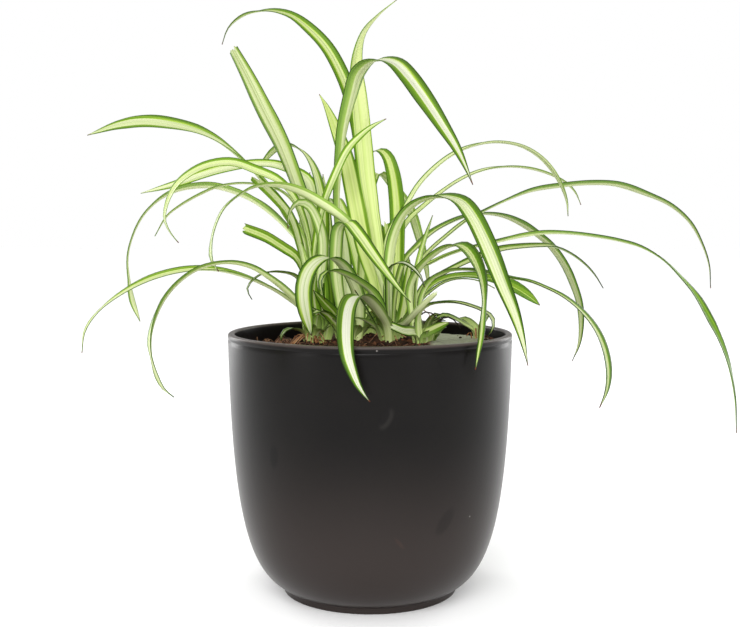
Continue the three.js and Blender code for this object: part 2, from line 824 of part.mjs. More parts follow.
// Joins rings of six corners into a closed strip. Its two faces are split along the same diagonals.
function closedStrip(positions, count) {
  const corners = 6;
  const index = [0, 1, 4, 0, 4, 5, 1, 2, 3, 1, 3, 4];
  for (let i = 0; i < count - 1; i += 1) {
    for (let k = 0; k < corners; k += 1) {
      const [p, q] = [i * corners + k, i * corners + ((k + 1) % corners)];
      const [pNext, qNext] = [p + corners, q + corners];
      const under = k === 3 || k === 4;
      index.push(...(under ? [p, pNext, q, q, pNext, qNext] : [p, pNext, qNext, p, qNext, q]));
    }
  }
  const last = (count - 1) * corners;
  index.push(...[1, 0, 4, 4, 0, 5, 2, 1, 3, 3, 1, 4].map((k) => last + k));
  const geometry = new THREE.BufferGeometry();
  geometry.setAttribute("position", new THREE.BufferAttribute(new Float32Array(positions), 3));
  geometry.setIndex(index);
  return geometry;
}

const plant = new THREE.Group();
plant.add(meshOf("pot", solidOf(spun(potProfile(), potSides)), colours.pot, 0.5));
plant.add(meshOf("compost", compost(), colours.compost, 0.95));
for (const [name, shoot] of Object.entries(shoots)) {
  const grown = fused([crown(shoot), ...shoot.leaves.map((leaf) => blade(leaf, shoot))]);
  plant.add(meshOf(name, grown, shoot.colour, 0.55));
}

export default plant;
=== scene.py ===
import math
import random

import bmesh
import bpy
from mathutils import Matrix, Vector, noise


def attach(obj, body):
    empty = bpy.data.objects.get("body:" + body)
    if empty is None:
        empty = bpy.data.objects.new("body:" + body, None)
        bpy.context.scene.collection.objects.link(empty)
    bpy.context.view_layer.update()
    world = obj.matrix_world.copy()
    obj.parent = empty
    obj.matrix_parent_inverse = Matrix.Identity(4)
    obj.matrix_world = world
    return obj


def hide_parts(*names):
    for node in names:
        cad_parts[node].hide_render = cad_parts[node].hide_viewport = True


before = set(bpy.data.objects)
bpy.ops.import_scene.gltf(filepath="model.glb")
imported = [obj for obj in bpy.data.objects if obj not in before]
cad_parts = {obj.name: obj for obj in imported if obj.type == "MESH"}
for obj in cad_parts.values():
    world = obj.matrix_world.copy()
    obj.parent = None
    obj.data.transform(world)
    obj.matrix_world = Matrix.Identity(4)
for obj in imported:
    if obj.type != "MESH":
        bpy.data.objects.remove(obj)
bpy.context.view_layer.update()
print("frame loaded")

mm = 0.001


def linearColour(code):  # sRGB hex to linear
    parts = [int(code[i:i + 2], 16) / 255 for i in (1, 3, 5)]
    return (*[c / 12.92 if c <= 0.04045 else ((c + 0.055) / 1.055) ** 2.4 for c in parts], 1.0)


def smoothStep(low, high, x):
    t = min(max((x - low) / (high - low), 0.0), 1.0)
    return t * t * (3 - 2 * t)


# Adds a node of any kind. A setting goes to the socket of that name or number, or else to the node's own
# property. A setting that is another node's socket is linked.
def addNode(tree, kind, settings=None):
    node = tree.nodes.new("ShaderNode" + kind)
    for name, value in (settings or {}).items():
        if isinstance(value, bpy.types.NodeSocket):
            tree.links.new(value, node.inputs[name])
        elif isinstance(name, int) or name in node.inputs:
            node.inputs[name].default_value = value
        else:
            setattr(node, name, value)
    return node


softRange = {"interpolation_type": "SMOOTHSTEP"}


def setStops(ramp, stops):  # stops are (position, hex colour)
    elements = ramp.color_ramp.elements
    while len(elements) < len(stops):
        elements.new(0.5)
    for element, (position, code) in zip(elements, stops):
        element.position = position
        element.color = linearColour(code)
    return ramp.outputs["Color"]


def newMaterial(name, surface):  # surface holds the shader's own uniform values
    material = bpy.data.materials.new(name)
    material.use_nodes = True
    tree = material.node_tree
    shader = tree.nodes["Principled BSDF"]
    for socket, value in surface.items():
        shader.inputs[socket].default_value = value
    return material, tree, shader


# Turns a finished bmesh in millimetres into a piece that rides on the one body
def finishPiece(bm, name, material, nodes=()):
    bmesh.ops.scale(bm, vec=(mm, mm, mm), verts=bm.verts)
    mesh = bpy.data.meshes.new(name)
    bm.to_mesh(mesh)
    bm.free()
    mesh.polygons.foreach_set("use_smooth", [True] * len(mesh.polygons))
    piece = bpy.data.objects.new(name, mesh)
    bpy.context.scene.collection.objects.link(piece)
    mesh.materials.append(material)
    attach(piece, "root")
    if nodes:
        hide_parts(*nodes)
    print(name, "made,", sum(len(p.vertices) - 2 for p in mesh.polygons), "triangles")


# Joins the profile points by edges, spins them round the upright axis at centre and merges the points on it
def spinProfile(bm, profile, steps, centre=(0, 0)):
    corners = [bm.verts.new((centre[0] + radius, centre[1], height)) for radius, height in profile]
    edges = [bm.edges.new(pair) for pair in zip(corners, corners[1:])]
    bmesh.ops.spin(bm, geom=corners + edges, cent=(*centre, 0), axis=(0, 0, 1), angle=2 * math.pi,
                   steps=steps, use_merge=True)
    axisReach, mergeReach = 0.02, 0.03
    near = [v for v in bm.verts if math.hypot(v.co.x - centre[0], v.co.y - centre[1]) < axisReach]
    bmesh.ops.remove_doubles(bm, verts=near, dist=mergeReach)


# Camera at the photograph's angle. The picture is 740 px across and the lens 1155.4 px long, so on a sensor
# 36 mm wide the lens is 56.21 mm. Near and far are the limits of what is drawn, in m.
cameraSet = {
    "place": (0, -610.66, 197.76), "down": 4.696, "lens": 56.21, "sensor": 36, "near": 0.01, "far": 60,
}


def placeCamera():
    data = bpy.data.cameras.new("camera")
    data.sensor_width = cameraSet["sensor"]
    data.lens = cameraSet["lens"]
    data.clip_start, data.clip_end = cameraSet["near"], cameraSet["far"]
    camera = bpy.data.objects.new("camera", data)
    bpy.context.scene.collection.objects.link(camera)
    camera.location = Vector(cameraSet["place"]) * mm
    camera.rotation_euler = (math.radians(90 - cameraSet["down"]), 0, 0)
    bpy.context.scene.camera = camera


# White surroundings, soft boxes whose reflections make the pale lines on the pot's sides, a wide soft lamp
# behind the camera, and a fill lamp without shadows that reaches into the heart of the plant
lightSet = {
    "surroundings": 0.6, "backdrop": 1.0, "aim": (0, 0, 0.15),
    "lamps": [  # name, strength, spread, height and turn to the left in degrees, casts shadows, shines
        ("wide lamp", 1.6, 40, 38, 8, True, True),
        ("fill lamp", 1.45, 20, 18, -8, False, False),
    ],
    "boxes": [  # name, place in m, size in m, watts
        ("top box", (-0.3, -0.2, 1.7), (1.3, 1.1), 3.2),
        ("left box", (-1.0, 1.0, 0.5), (0.5, 1.2), 8.5),
        ("right box", (1.0, 1.0, 0.5), (0.5, 1.2), 7.3),
        ("front left box", (-1.3, -1.1, 0.35), (0.45, 1.1), 3.2),
        ("front right box", (1.1, -1.3, 0.35), (0.4, 1.1), 2.2),
    ],
}


def placeLights():
    world = bpy.data.worlds.new("studio")
    world.use_nodes = True
    tree = world.node_tree
    background = tree.nodes["Background"]
    background.inputs["Color"].default_value = (1, 1, 1, 1)
    seen = addNode(tree, "LightPath").outputs["Is Camera Ray"]  # the backdrop itself is plain white
    level = addNode(tree, "MapRange", {
        "Value": seen, "To Min": lightSet["surroundings"], "To Max": lightSet["backdrop"],
    })
    tree.links.new(level.outputs["Result"], background.inputs["Strength"])
    bpy.context.scene.world = world
    for name, place, size, watts in lightSet["boxes"]:
        data = bpy.data.lights.new(name, "AREA")
        data.shape = "RECTANGLE"
        data.size, data.size_y = size
        data.energy = watts
        box = bpy.data.objects.new(name, data)
        bpy.context.scene.collection.objects.link(box)
        box.location = place
        ahead = Vector(lightSet["aim"]) - Vector(place)
        box.rotation_euler = ahead.to_track_quat("-Z", "Y").to_euler()
    for name, strength, spread, up, left, shades, shines in lightSet["lamps"]:
        data = bpy.data.lights.new(name, "SUN")
        data.energy = strength
        data.angle = math.radians(spread)
        data.use_shadow = shades
        lamp = bpy.data.objects.new(name, data)
        bpy.context.scene.collection.objects.link(lamp)
        lamp.rotation_euler = (math.radians(90 - up), 0, math.radians(-left))
        lamp.visible_glossy = shines
    bpy.context.scene.view_settings.view_transform = "Standard"


floorSet = {"reach": 14000, "colour": "#ffffff", "mottle": "#fefefe", "mottleSize": 333.3}


def layFloor():
    # matt painted board: a plain pale ground that takes only a soft contact shadow
    material, tree, shader = newMaterial("matt painted board", {"Roughness": 0.9, "Specular IOR Level": 0.1})
    place = addNode(tree, "TexCoord").outputs["Object"]
    grain = addNode(tree, "TexNoise", {"Vector": place, "Scale": 1000 / floorSet["mottleSize"], "Detail": 2})
    ramp = addNode(tree, "ValToRGB", {"Fac": grain.outputs["Fac"]})
    colour = setStops(ramp, [(0.3, floorSet["mottle"]), (0.7, floorSet["colour"])])
    tree.links.new(colour, shader.inputs["Base Color"])
    bm = bmesh.new()
    bmesh.ops.create_grid(bm, x_segments=1, y_segments=1, size=floorSet["reach"] * mm / 2)
    mesh = bpy.data.meshes.new("floor")
    bm.to_mesh(mesh)
    bm.free()
    mesh.materials.append(material)
    floor = bpy.data.objects.new("floor", mesh)
    bpy.context.scene.collection.objects.link(floor)


placeCamera()
placeLights()
layFloor()
print("camera, lights and floor placed")


# The pot's sizes in mm repeat the frame's, with a rolled lip above a shallow groove. The last two rows are
# the sizes of the glaze's patterns in mm (the wipe marks' across and down), the heights between which the
# painted reflection of the bright floor, lighter low on the wall, and the painted highlight on the lip's top
# fade in, how strong that highlight is, and how far out a mark keeps its full strength.
potSet = {
    "height": 138, "rimRadius": 75, "footRadius": 46.4, "footHeight": 3.4, "footRound": 0.6, "footStep": 0.4,
    "flatRadius": 24, "bowlPull": (65.2, 12.4), "wallPull": (73.5, 42.3), "wall": 3.6, "floor": 7,
    "lipRound": 1.3, "lipDepth": 4, "innerRound": 1.04, "steps": 176, "wallSteps": 64, "innerSteps": 26,
    "grooveDown": 3.1, "grooveDepth": 0.32, "grooveWidth": 0.45, "grooveInset": 0.02,
    "grooveSpan": (134, 135.8), "grooveRows": (135.7, 135.3, 134.9, 134.5, 134.1),
    # the last two colours paint the floor's reflection low on the wall and the highlight on the lip's top
    "colour": "#0a0807", "light": "#0e0b0a", "dark": "#080606", "floorReflection": "#2c2624", "lip": "#544b47",
    "cloud": 35.7, "peel": 1.1, "grain": 0.3846, "wipe": (33.3, 200),
    "floorReflectionSpan": (100, 25), "lipHighlightSpan": (136.2, 137.9), "lipHighlight": 0.75, "markEdge": 0.55,
}
# Marks on the front of the glaze: place in mm, half sizes across and along in mm, lean to the right in
# degrees, tint and strength. Dark ovals where it was touched, a pale crescent, a scratch and pin specks.
potMarks = [
    {"at": (-47.6, -56.9, 82), "half": (3.8, 8.2), "lean": 6, "tint": "#030202", "strength": 0.7},
    {"at": (36.5, -59.0, 51), "half": (4.4, 9.5), "lean": 33, "tint": "#120e0d", "strength": 0.45},
    {"at": (15.3, -66.8, 40.7), "half": (1.4, 6.5), "lean": -38, "tint": "#6a4a3c", "strength": 0.06},
    {"at": (7.8, -74.4, 103.6), "half": (3.4, 7.0), "lean": 28, "tint": "#8c8782", "strength": 0.03},
    {"at": (6.6, -74.5, 104.6), "half": (2.7, 6.2), "lean": 28, "tint": "#080606", "strength": 0.9},
    {"at": (33.1, -67.1, 128.6), "half": (0.4, 6.5), "lean": -28, "tint": "#030202", "strength": 0.8},
    {"at": (3.2, -74.9, 136.2), "half": (0.5, 0.5), "lean": 0, "tint": "#8c8782", "strength": 0.6},
    {"at": (44.8, -59.3, 90.8), "half": (0.5, 0.5), "lean": 0, "tint": "#8c8782", "strength": 0.6},
    {"at": (49.3, -49.1, 50.9), "half": (0.5, 0.5), "lean": 0, "tint": "#8c8782", "strength": 0.6},
]


def wallPoints(inset, low, high, steps):
    s = potSet
    pulls = [(s["footRadius"] + s["footStep"] - inset, low),
             (s["bowlPull"][0] - inset, s["bowlPull"][1] + inset),
             (s["wallPull"][0] - inset, s["wallPull"][1] + inset), (s["rimRadius"] - inset, high)]
    points = []
    for i in range(steps + 1):
        t = i / steps
        shares = ((1 - t) ** 3, 3 * t * (1 - t) ** 2, 3 * t * t * (1 - t), t ** 3)
        points.append(tuple(sum(w * p[k] for w, p in zip(shares, pulls)) for k in (0, 1)))
    return points


def roundedCorner(centre, size, start, end, steps):
    angles = [math.radians(start + (end - start) * i / steps) for i in range(1, steps + 1)]
    return [(centre[0] + size * math.cos(a), centre[1] + size * math.sin(a)) for a in angles]


def grooveAt(height):
    down = potSet["height"] - height - potSet["grooveDown"]
    return potSet["grooveDepth"] * math.exp(-(down / potSet["grooveWidth"]) ** 2)


def potProfile():
    s = potSet
    foot, lip, inner = s["footRound"], s["lipRound"], s["innerRound"]
    low, high = s["grooveSpan"]
    outer = wallPoints(0, s["footHeight"], s["height"] - s["lipRound"], s["wallSteps"])
    body = [(radius - grooveAt(height), height) for radius, height in outer if not low <= height <= high]
    body += [(s["rimRadius"] - s["grooveInset"] - grooveAt(height), height) for height in s["grooveRows"]]
    return [
        (0.0, 0.0), (s["flatRadius"], 0.0), (s["footRadius"] - foot, 0.0),
        *roundedCorner((s["footRadius"] - foot, foot), foot, -90, 0, 4),
        (s["footRadius"], s["footHeight"] - foot),
        *sorted(body, key=lambda point: point[1]),
        *roundedCorner((s["rimRadius"] - lip, s["height"] - lip), lip, 0, 90, 7),
        *roundedCorner((s["rimRadius"] - s["wall"] + inner, s["height"] - inner), inner, 90, 180, 6),
        *wallPoints(s["wall"], s["floor"], s["height"] - s["lipDepth"], s["innerSteps"])[::-1],
        (s["flatRadius"], s["floor"]), (0.0, s["floor"]),
    ]


# Distance from the middle of an oval mark on the wall, 1 at its edge
def ovalAround(tree, place, mark):
    short, long = (size * mm for size in mark["half"])
    out = Vector((mark["at"][0], mark["at"][1], 0)).normalized()
    lean = math.radians(mark["lean"])
    axis = Vector((-out.y, out.x, 0)) * math.sin(lean) + Vector((0, 0, math.cos(lean)))
    narrowing = math.sqrt(1 / short ** 2 - 1 / long ** 2)
    apart = addNode(tree, "VectorMath", {
        "operation": "SUBTRACT", 0: place, 1: Vector(mark["at"]) * mm,
    }).outputs["Vector"]
    ahead = addNode(tree, "VectorMath", {
        "operation": "DOT_PRODUCT", 0: apart, 1: axis * narrowing,
    }).outputs["Value"]
    far = addNode(tree, "VectorMath", {"operation": "LENGTH", 0: apart}).outputs["Value"]
    far = addNode(tree, "Math", {"operation": "DIVIDE", 0: far, 1: short}).outputs[0]
    squared = addNode(tree, "Math", {"operation": "MULTIPLY", 0: far, 1: far}).outputs[0]
    taken = addNode(tree, "Math", {"operation": "MULTIPLY", 0: ahead, 1: ahead}).outputs[0]
    left = addNode(tree, "Math", {"operation": "SUBTRACT", 0: squared, 1: taken}).outputs[0]
    return addNode(tree, "Math", {"operation": "SQRT", 0: left}).outputs[0]


def potGlaze():
    # matt-glazed stoneware: dark anthracite with a soft satin glow, faint smudges and pin specks
    s = potSet
    material, tree, shader = newMaterial("matt glazed stoneware", {"Specular IOR Level": 0.17, "IOR": 1.5})
    place = addNode(tree, "TexCoord").outputs["Object"]
    cloud = addNode(tree, "TexNoise", {
        "Vector": place, "Scale": 1000 / s["cloud"], "Detail": 4, "Roughness": 0.6,
    })
    peel = addNode(tree, "TexNoise", {"Vector": place, "Scale": 1000 / s["peel"], "Detail": 2})
    grain = addNode(tree, "TexNoise", {"Vector": place, "Scale": 1000 / s["grain"], "Detail": 1})
    across, down = (1000 / size for size in s["wipe"])
    stretched = addNode(tree, "Mapping", {"Vector": place, "Scale": (across, across, down)})
    wipe = addNode(tree, "TexNoise", {"Vector": stretched.outputs["Vector"], "Scale": 1, "Detail": 3})
    ramp = addNode(tree, "ValToRGB", {"Fac": cloud.outputs["Fac"]})
    colour = setStops(ramp, [(0.3, s["dark"]), (0.52, s["colour"]), (0.78, s["light"])])
    height = addNode(tree, "SeparateXYZ", {"Vector": place}).outputs["Z"]
    # painted reflection of the bright floor, lighter low on the wall, the painted highlight on the lip's top
    # and the marks: each lies over what is below it
    covers = [(height, s["floorReflectionSpan"][0] * mm, s["floorReflectionSpan"][1] * mm, 1, s["floorReflection"]),
              (height, s["lipHighlightSpan"][0] * mm, s["lipHighlightSpan"][1] * mm, s["lipHighlight"], s["lip"])]
    for mark in potMarks:
        covers.append((ovalAround(tree, place, mark), 1, s["markEdge"], mark["strength"], mark["tint"]))
    for source, start, end, most, tint in covers:
        share = addNode(tree, "MapRange", {
            **softRange, "Value": source, "From Min": start, "From Max": end, "To Max": most,
        }).outputs["Result"]
        colour = addNode(tree, "Mix", {
            "data_type": "RGBA", 0: share, 6: colour, 7: linearColour(tint),
        }).outputs[2]
    tree.links.new(colour, shader.inputs["Base Color"])
    dull = addNode(tree, "MapRange", {
        **softRange, "Value": wipe.outputs["Fac"], "From Min": 0.2, "From Max": 0.8,
        "To Min": 0.28, "To Max": 0.32,
    })
    tree.links.new(dull.outputs["Result"], shader.inputs["Roughness"])
    rough = addNode(tree, "Math", {
        "operation": "MULTIPLY_ADD", 0: grain.outputs["Fac"], 1: 0.3, 2: peel.outputs["Fac"],
    })
    bump = addNode(tree, "Bump", {"Strength": 0.12, "Distance": 0.15 * mm, "Height": rough.outputs[0]})
    tree.links.new(bump.outputs["Normal"], shader.inputs["Normal"])
    return material


def makePot():
    bm = bmesh.new()
    spinProfile(bm, potProfile(), potSet["steps"])
    bmesh.ops.recalc_face_normals(bm, faces=bm.faces)
    finishPiece(bm, "glazedPot", potGlaze(), ["pot"])


makePot()


# Where each crown stands, across and deep in mm
crownSpots = {
    "shoot_left": (-31, 8), "shoot_middle": (-10, 9), "shoot_right": (11, 5), "shoot_front": (29, -8),
    "shoot_back": (-2, 38), "plantlet": (57.5, 5),
}
# Compost: a crumbly bed a little below the rim, heaped round the shoots and flat and crusted on the right.
# Sizes in mm, also those of the crumb and bark patterns. Shades are for loose things, from dark peat to pale
# fibre.
compostSet = {
    "level": 130.6, "rise": 0.032, "heap": 1.6, "coarse": 0.7, "fine": 0.45, "clod": 1.5, "grit": 0.45,
    "edgeDrop": 1.2, "edgeSpan": (64, 71), "edgeRadius": 71.2, "ringStep": 1.15, "steps": 200,
    "sideGap": 0.45, "floorGap": 0.3, "mound": 1.9, "moundReach": 9,
    "crustLeft": (30, 37), "crustFront": (-30, -18), "crustRight": (56, 63), "crustRagged": 6,
    "crumbSize": 2.381, "barkSize": 2.632, "dark": "#1d130d", "mid": "#38251a", "red": "#5a3320",
    "bark": "#6d4630", "crust": "#9fa18c", "crustDark": "#898b77",
    "shades": [(0.0, "#170e0a"), (0.4, "#2f1b14"), (0.62, "#522c20"), (0.82, "#7a5038"), (1.0, "#d8c7a8")],
}


def compostHeight(x, y):  # the heap and lumps of the frame's compost
    s = compostSet
    heap = s["heap"] * math.exp(-((x + 2) ** 2 / 1100 + (y - 8) ** 2 / 700))
    coarse = s["coarse"] * math.sin(0.31 * x + 0.8) * math.cos(0.27 * y - 0.4)
    fine = s["fine"] * math.sin(0.62 * x - 0.55 * y)
    return s["level"] + s["rise"] * x + heap + (coarse + fine) * (1 - 0.75 * smoothStep(25, 45, x))


def crustShare(x, y):  # where watering has left a flat pale crust
    s = compostSet
    edge = s["crustRagged"] * noise.noise(Vector((x * 0.07, y * 0.07, 4)))
    inside = smoothStep(*s["crustLeft"], x + edge) * smoothStep(*s["crustFront"], y + edge)
    return inside * (1 - smoothStep(*s["crustRight"], x - edge))


def bedHeight(x, y):  # the crumbled surface that crumbs and chips lie on
    s = compostSet
    clods = noise.noise(Vector((x * 0.16, y * 0.16, 0))) + 0.6 * noise.noise(Vector((x * 0.37, y * 0.37, 7)))
    grit = s["grit"] * noise.noise(Vector((x * 0.9, y * 0.9, 3)))
    calm = 1 - 0.82 * crustShare(x, y)
    edge = s["edgeDrop"] * smoothStep(*s["edgeSpan"], math.hypot(x, y))
    near = min((x - cx) ** 2 + (y - cy) ** 2 for cx, cy in crownSpots.values())
    mound = s["mound"] * math.exp(-near / s["moundReach"] ** 2)
    return compostHeight(x, y) + (s["clod"] * clods + grit) * calm - edge + mound


def compostEarth(name, usesShade):
    # damp peat compost: matt dark brown crumbs with reddish bark, and a pale dry crust on the right
    s = compostSet
    material, tree, shader = newMaterial(name, {"Specular IOR Level": 0.25})
    place = addNode(tree, "TexCoord").outputs["Object"]
    crumb = addNode(tree, "TexNoise", {
        "Vector": place, "Scale": 1000 / s["crumbSize"], "Detail": 5, "Roughness": 0.7,
    }).outputs["Fac"]
    ramp = addNode(tree, "ValToRGB", {"Fac": crumb})
    colour = setStops(ramp, [(0.32, s["dark"]), (0.52, s["mid"]), (0.72, s["red"])])
    bits = addNode(tree, "TexVoronoi", {"Vector": place, "Scale": 1000 / s["barkSize"]})
    drawn = addNode(tree, "SeparateColor", {"Color": bits.outputs["Color"]}).outputs["Red"]
    rare = addNode(tree, "MapRange", {
        "Value": drawn, "From Min": 0.8, "From Max": 0.86, "To Max": 0.6,
    }).outputs["Result"]
    colour = addNode(tree, "Mix", {
        "data_type": "RGBA", 0: rare, 6: colour, 7: linearColour(s["bark"]),
    }).outputs[2]
    ramp = addNode(tree, "ValToRGB", {"Fac": crumb})
    pale = setStops(ramp, [(0.35, s["crustDark"]), (0.6, s["crust"])])
    share = addNode(tree, "Attribute", {"attribute_name": "crust"}).outputs["Fac"]
    colour = addNode(tree, "Mix", {"data_type": "RGBA", 0: share, 6: colour, 7: pale}).outputs[2]
    if usesShade:  # each crumb, chip or hair has a shade of its own
        shade = addNode(tree, "Attribute", {"attribute_name": "shade"}).outputs["Fac"]
        own = setStops(addNode(tree, "ValToRGB", {"Fac": shade}), s["shades"])
        colour = addNode(tree, "Mix", {"data_type": "RGBA", 0: 0.75, 6: colour, 7: own}).outputs[2]
    tree.links.new(colour, shader.inputs["Base Color"])
    dull = addNode(tree, "MapRange", {"Value": crumb, "To Min": 0.78, "To Max": 0.98})
    tree.links.new(dull.outputs["Result"], shader.inputs["Roughness"])
    bump = addNode(tree, "Bump", {"Strength": 0.7, "Distance": 0.6 * mm, "Height": crumb})
    tree.links.new(bump.outputs["Normal"], shader.inputs["Normal"])
    return material


def makeCompost():
    s = compostSet
    rings = int(s["edgeRadius"] / s["ringStep"])
    lowest = potSet["floor"] + s["floorGap"]
    side = wallPoints(potSet["wall"] + s["sideGap"], lowest, potSet["height"] - potSet["lipDepth"], 10)
    profile = [(0, lowest), *[p for p in side if p[1] < s["level"] - 5],
               *[(s["edgeRadius"] * (1 - i / rings), s["level"]) for i in range(rings)], (0, s["level"])]
    bm = bmesh.new()
    spinProfile(bm, profile, s["steps"])
    crust = bm.verts.layers.float.new("crust")
    for v in bm.verts:
        if v.co.z > s["level"] - 0.5:  # only the top is crumbled
            v[crust] = crustShare(v.co.x, v.co.y)
            v.co.z = bedHeight(v.co.x, v.co.y)
    bmesh.ops.recalc_face_normals(bm, faces=bm.faces)
    finishPiece(bm, "compostBed", compostEarth("damp peat compost", False), ["compost"])


makeCompost()


# Loose things on the compost, in mm: crumbs, bark chips and pale root hairs. Where the crust's share is over
# these limits, most crumbs and all chips are left out. The hairs keep to the left of it, a third of them bare
# in a patch of their own.
looseSet = {
    "crumbs": 900, "crumbSizes": (0.5, 1.7), "chips": 110, "chipSizes": (2.0, 5.5), "chipThickness": 0.7,
    "hairs": 150, "hairRadius": 0.19, "hairHeight": 1.3, "hairStep": 1.1, "hairShade": 0.84,
    "barePatch": ((-62, -38), (-34, 12)), "hairsUpTo": 25, "crumbLimit": 0.3, "crumbsLeftOut": 0.93,
    "chipLimit": 0.4, "reach": 68, "seed": 11,
}


def scatterSpot(draw):
    radius, angle = looseSet["reach"] * math.sqrt(draw.random()), draw.uniform(0, 2 * math.pi)
    return radius * math.cos(angle), radius * math.sin(angle)


# Rolls a grid up along a line of points into a thin closed tube
def growTube(bm, line, radius, sides=5):
    grid = bmesh.ops.create_grid(bm, x_segments=sides, y_segments=len(line) - 1, size=1)["verts"]
    for v in grid:
        i = round((v.co.y + 1) / 2 * (len(line) - 1))
        angle = (v.co.x + 1) * math.pi
        ahead = (line[min(i + 1, len(line) - 1)] - line[max(i - 1, 0)]).normalized()
        across = ahead.cross(Vector((0.3, 0.2, 1))).normalized()
        taper = radius * (1 - 0.6 * i / (len(line) - 1))
        v.co = line[i] + (across * math.cos(angle) + ahead.cross(across) * math.sin(angle)) * taper
    faces = {f for v in grid for f in v.link_faces}
    bmesh.ops.remove_doubles(bm, verts=grid, dist=0.002)
    live = [v for v in bm.verts if any(f in faces for f in v.link_faces if f.is_valid)]
    rim = [e for e in {e for v in live for e in v.link_edges} if e.is_boundary]
    bmesh.ops.holes_fill(bm, edges=rim, sides=sides + 1)
    return live


def makeLoose():
    s = looseSet
    draw = random.Random(s["seed"])
    bm = bmesh.new()
    shade = bm.verts.layers.float.new("shade")
    for i in range(s["crumbs"]):
        x, y = scatterSpot(draw)
        if crustShare(x, y) > s["crumbLimit"] and draw.random() < s["crumbsLeftOut"]:
            continue
        size = draw.uniform(*s["crumbSizes"])
        made = bmesh.ops.create_icosphere(bm, subdivisions=1, radius=size)["verts"]
        own = draw.random() ** 2.2 * 0.72  # most crumbs are dark
        stretch = Vector((draw.uniform(0.6, 1.3), draw.uniform(0.6, 1.3), 0.7))
        for v in made:
            jitter = 1 + 0.35 * noise.noise(v.co * 1.3 + Vector((i, 0, 0)))
            v.co = v.co * stretch * jitter + Vector((x, y, bedHeight(x, y) + size * 0.2))
            v[shade] = own
    for i in range(s["chips"]):
        x, y = scatterSpot(draw)
        if crustShare(x, y) > s["chipLimit"]:
            continue
        length = draw.uniform(*s["chipSizes"])
        made = bmesh.ops.create_cube(bm, size=1)["verts"]
        own, turn, tilt = draw.uniform(0.3, 0.78), draw.uniform(0, math.pi), draw.uniform(-0.35, 0.35)
        for v in made:
            a = v.co * Vector((length, length * 0.35, s["chipThickness"])) * draw.uniform(0.75, 1.15)
            a.z += a.x * math.sin(tilt)
            v.co = Vector((x + a.x * math.cos(turn) - a.y * math.sin(turn),
                           y + a.x * math.sin(turn) + a.y * math.cos(turn), bedHeight(x, y) + 0.5 + a.z))
            v[shade] = own
    for i in range(s["hairs"]):
        x, y = scatterSpot(draw)
        height = s["hairHeight"]
        if i % 3 == 0:  # the hairs of the bare patch stand up more
            x, y = (draw.uniform(*span) for span in s["barePatch"])
            height *= 2
        if x > s["hairsUpTo"]:
            continue
        heading, line = draw.uniform(0, 2 * math.pi), []
        for k in range(9):
            heading += draw.uniform(-0.5, 0.5)
            x, y = x + s["hairStep"] * math.cos(heading), y + s["hairStep"] * math.sin(heading)
            if math.hypot(x, y) > s["reach"]:
                break
            line.append(Vector((x, y, bedHeight(x, y) + height * (0.7 + math.sin(k * 0.75 + i)))))
        if len(line) > 3:
            for v in growTube(bm, line, s["hairRadius"]):
                v[shade] = s["hairShade"]
    bmesh.ops.recalc_face_normals(bm, faces=bm.faces)
    finishPiece(bm, "looseCompost", compostEarth("loose bark and root hairs", True))


makeLoose()
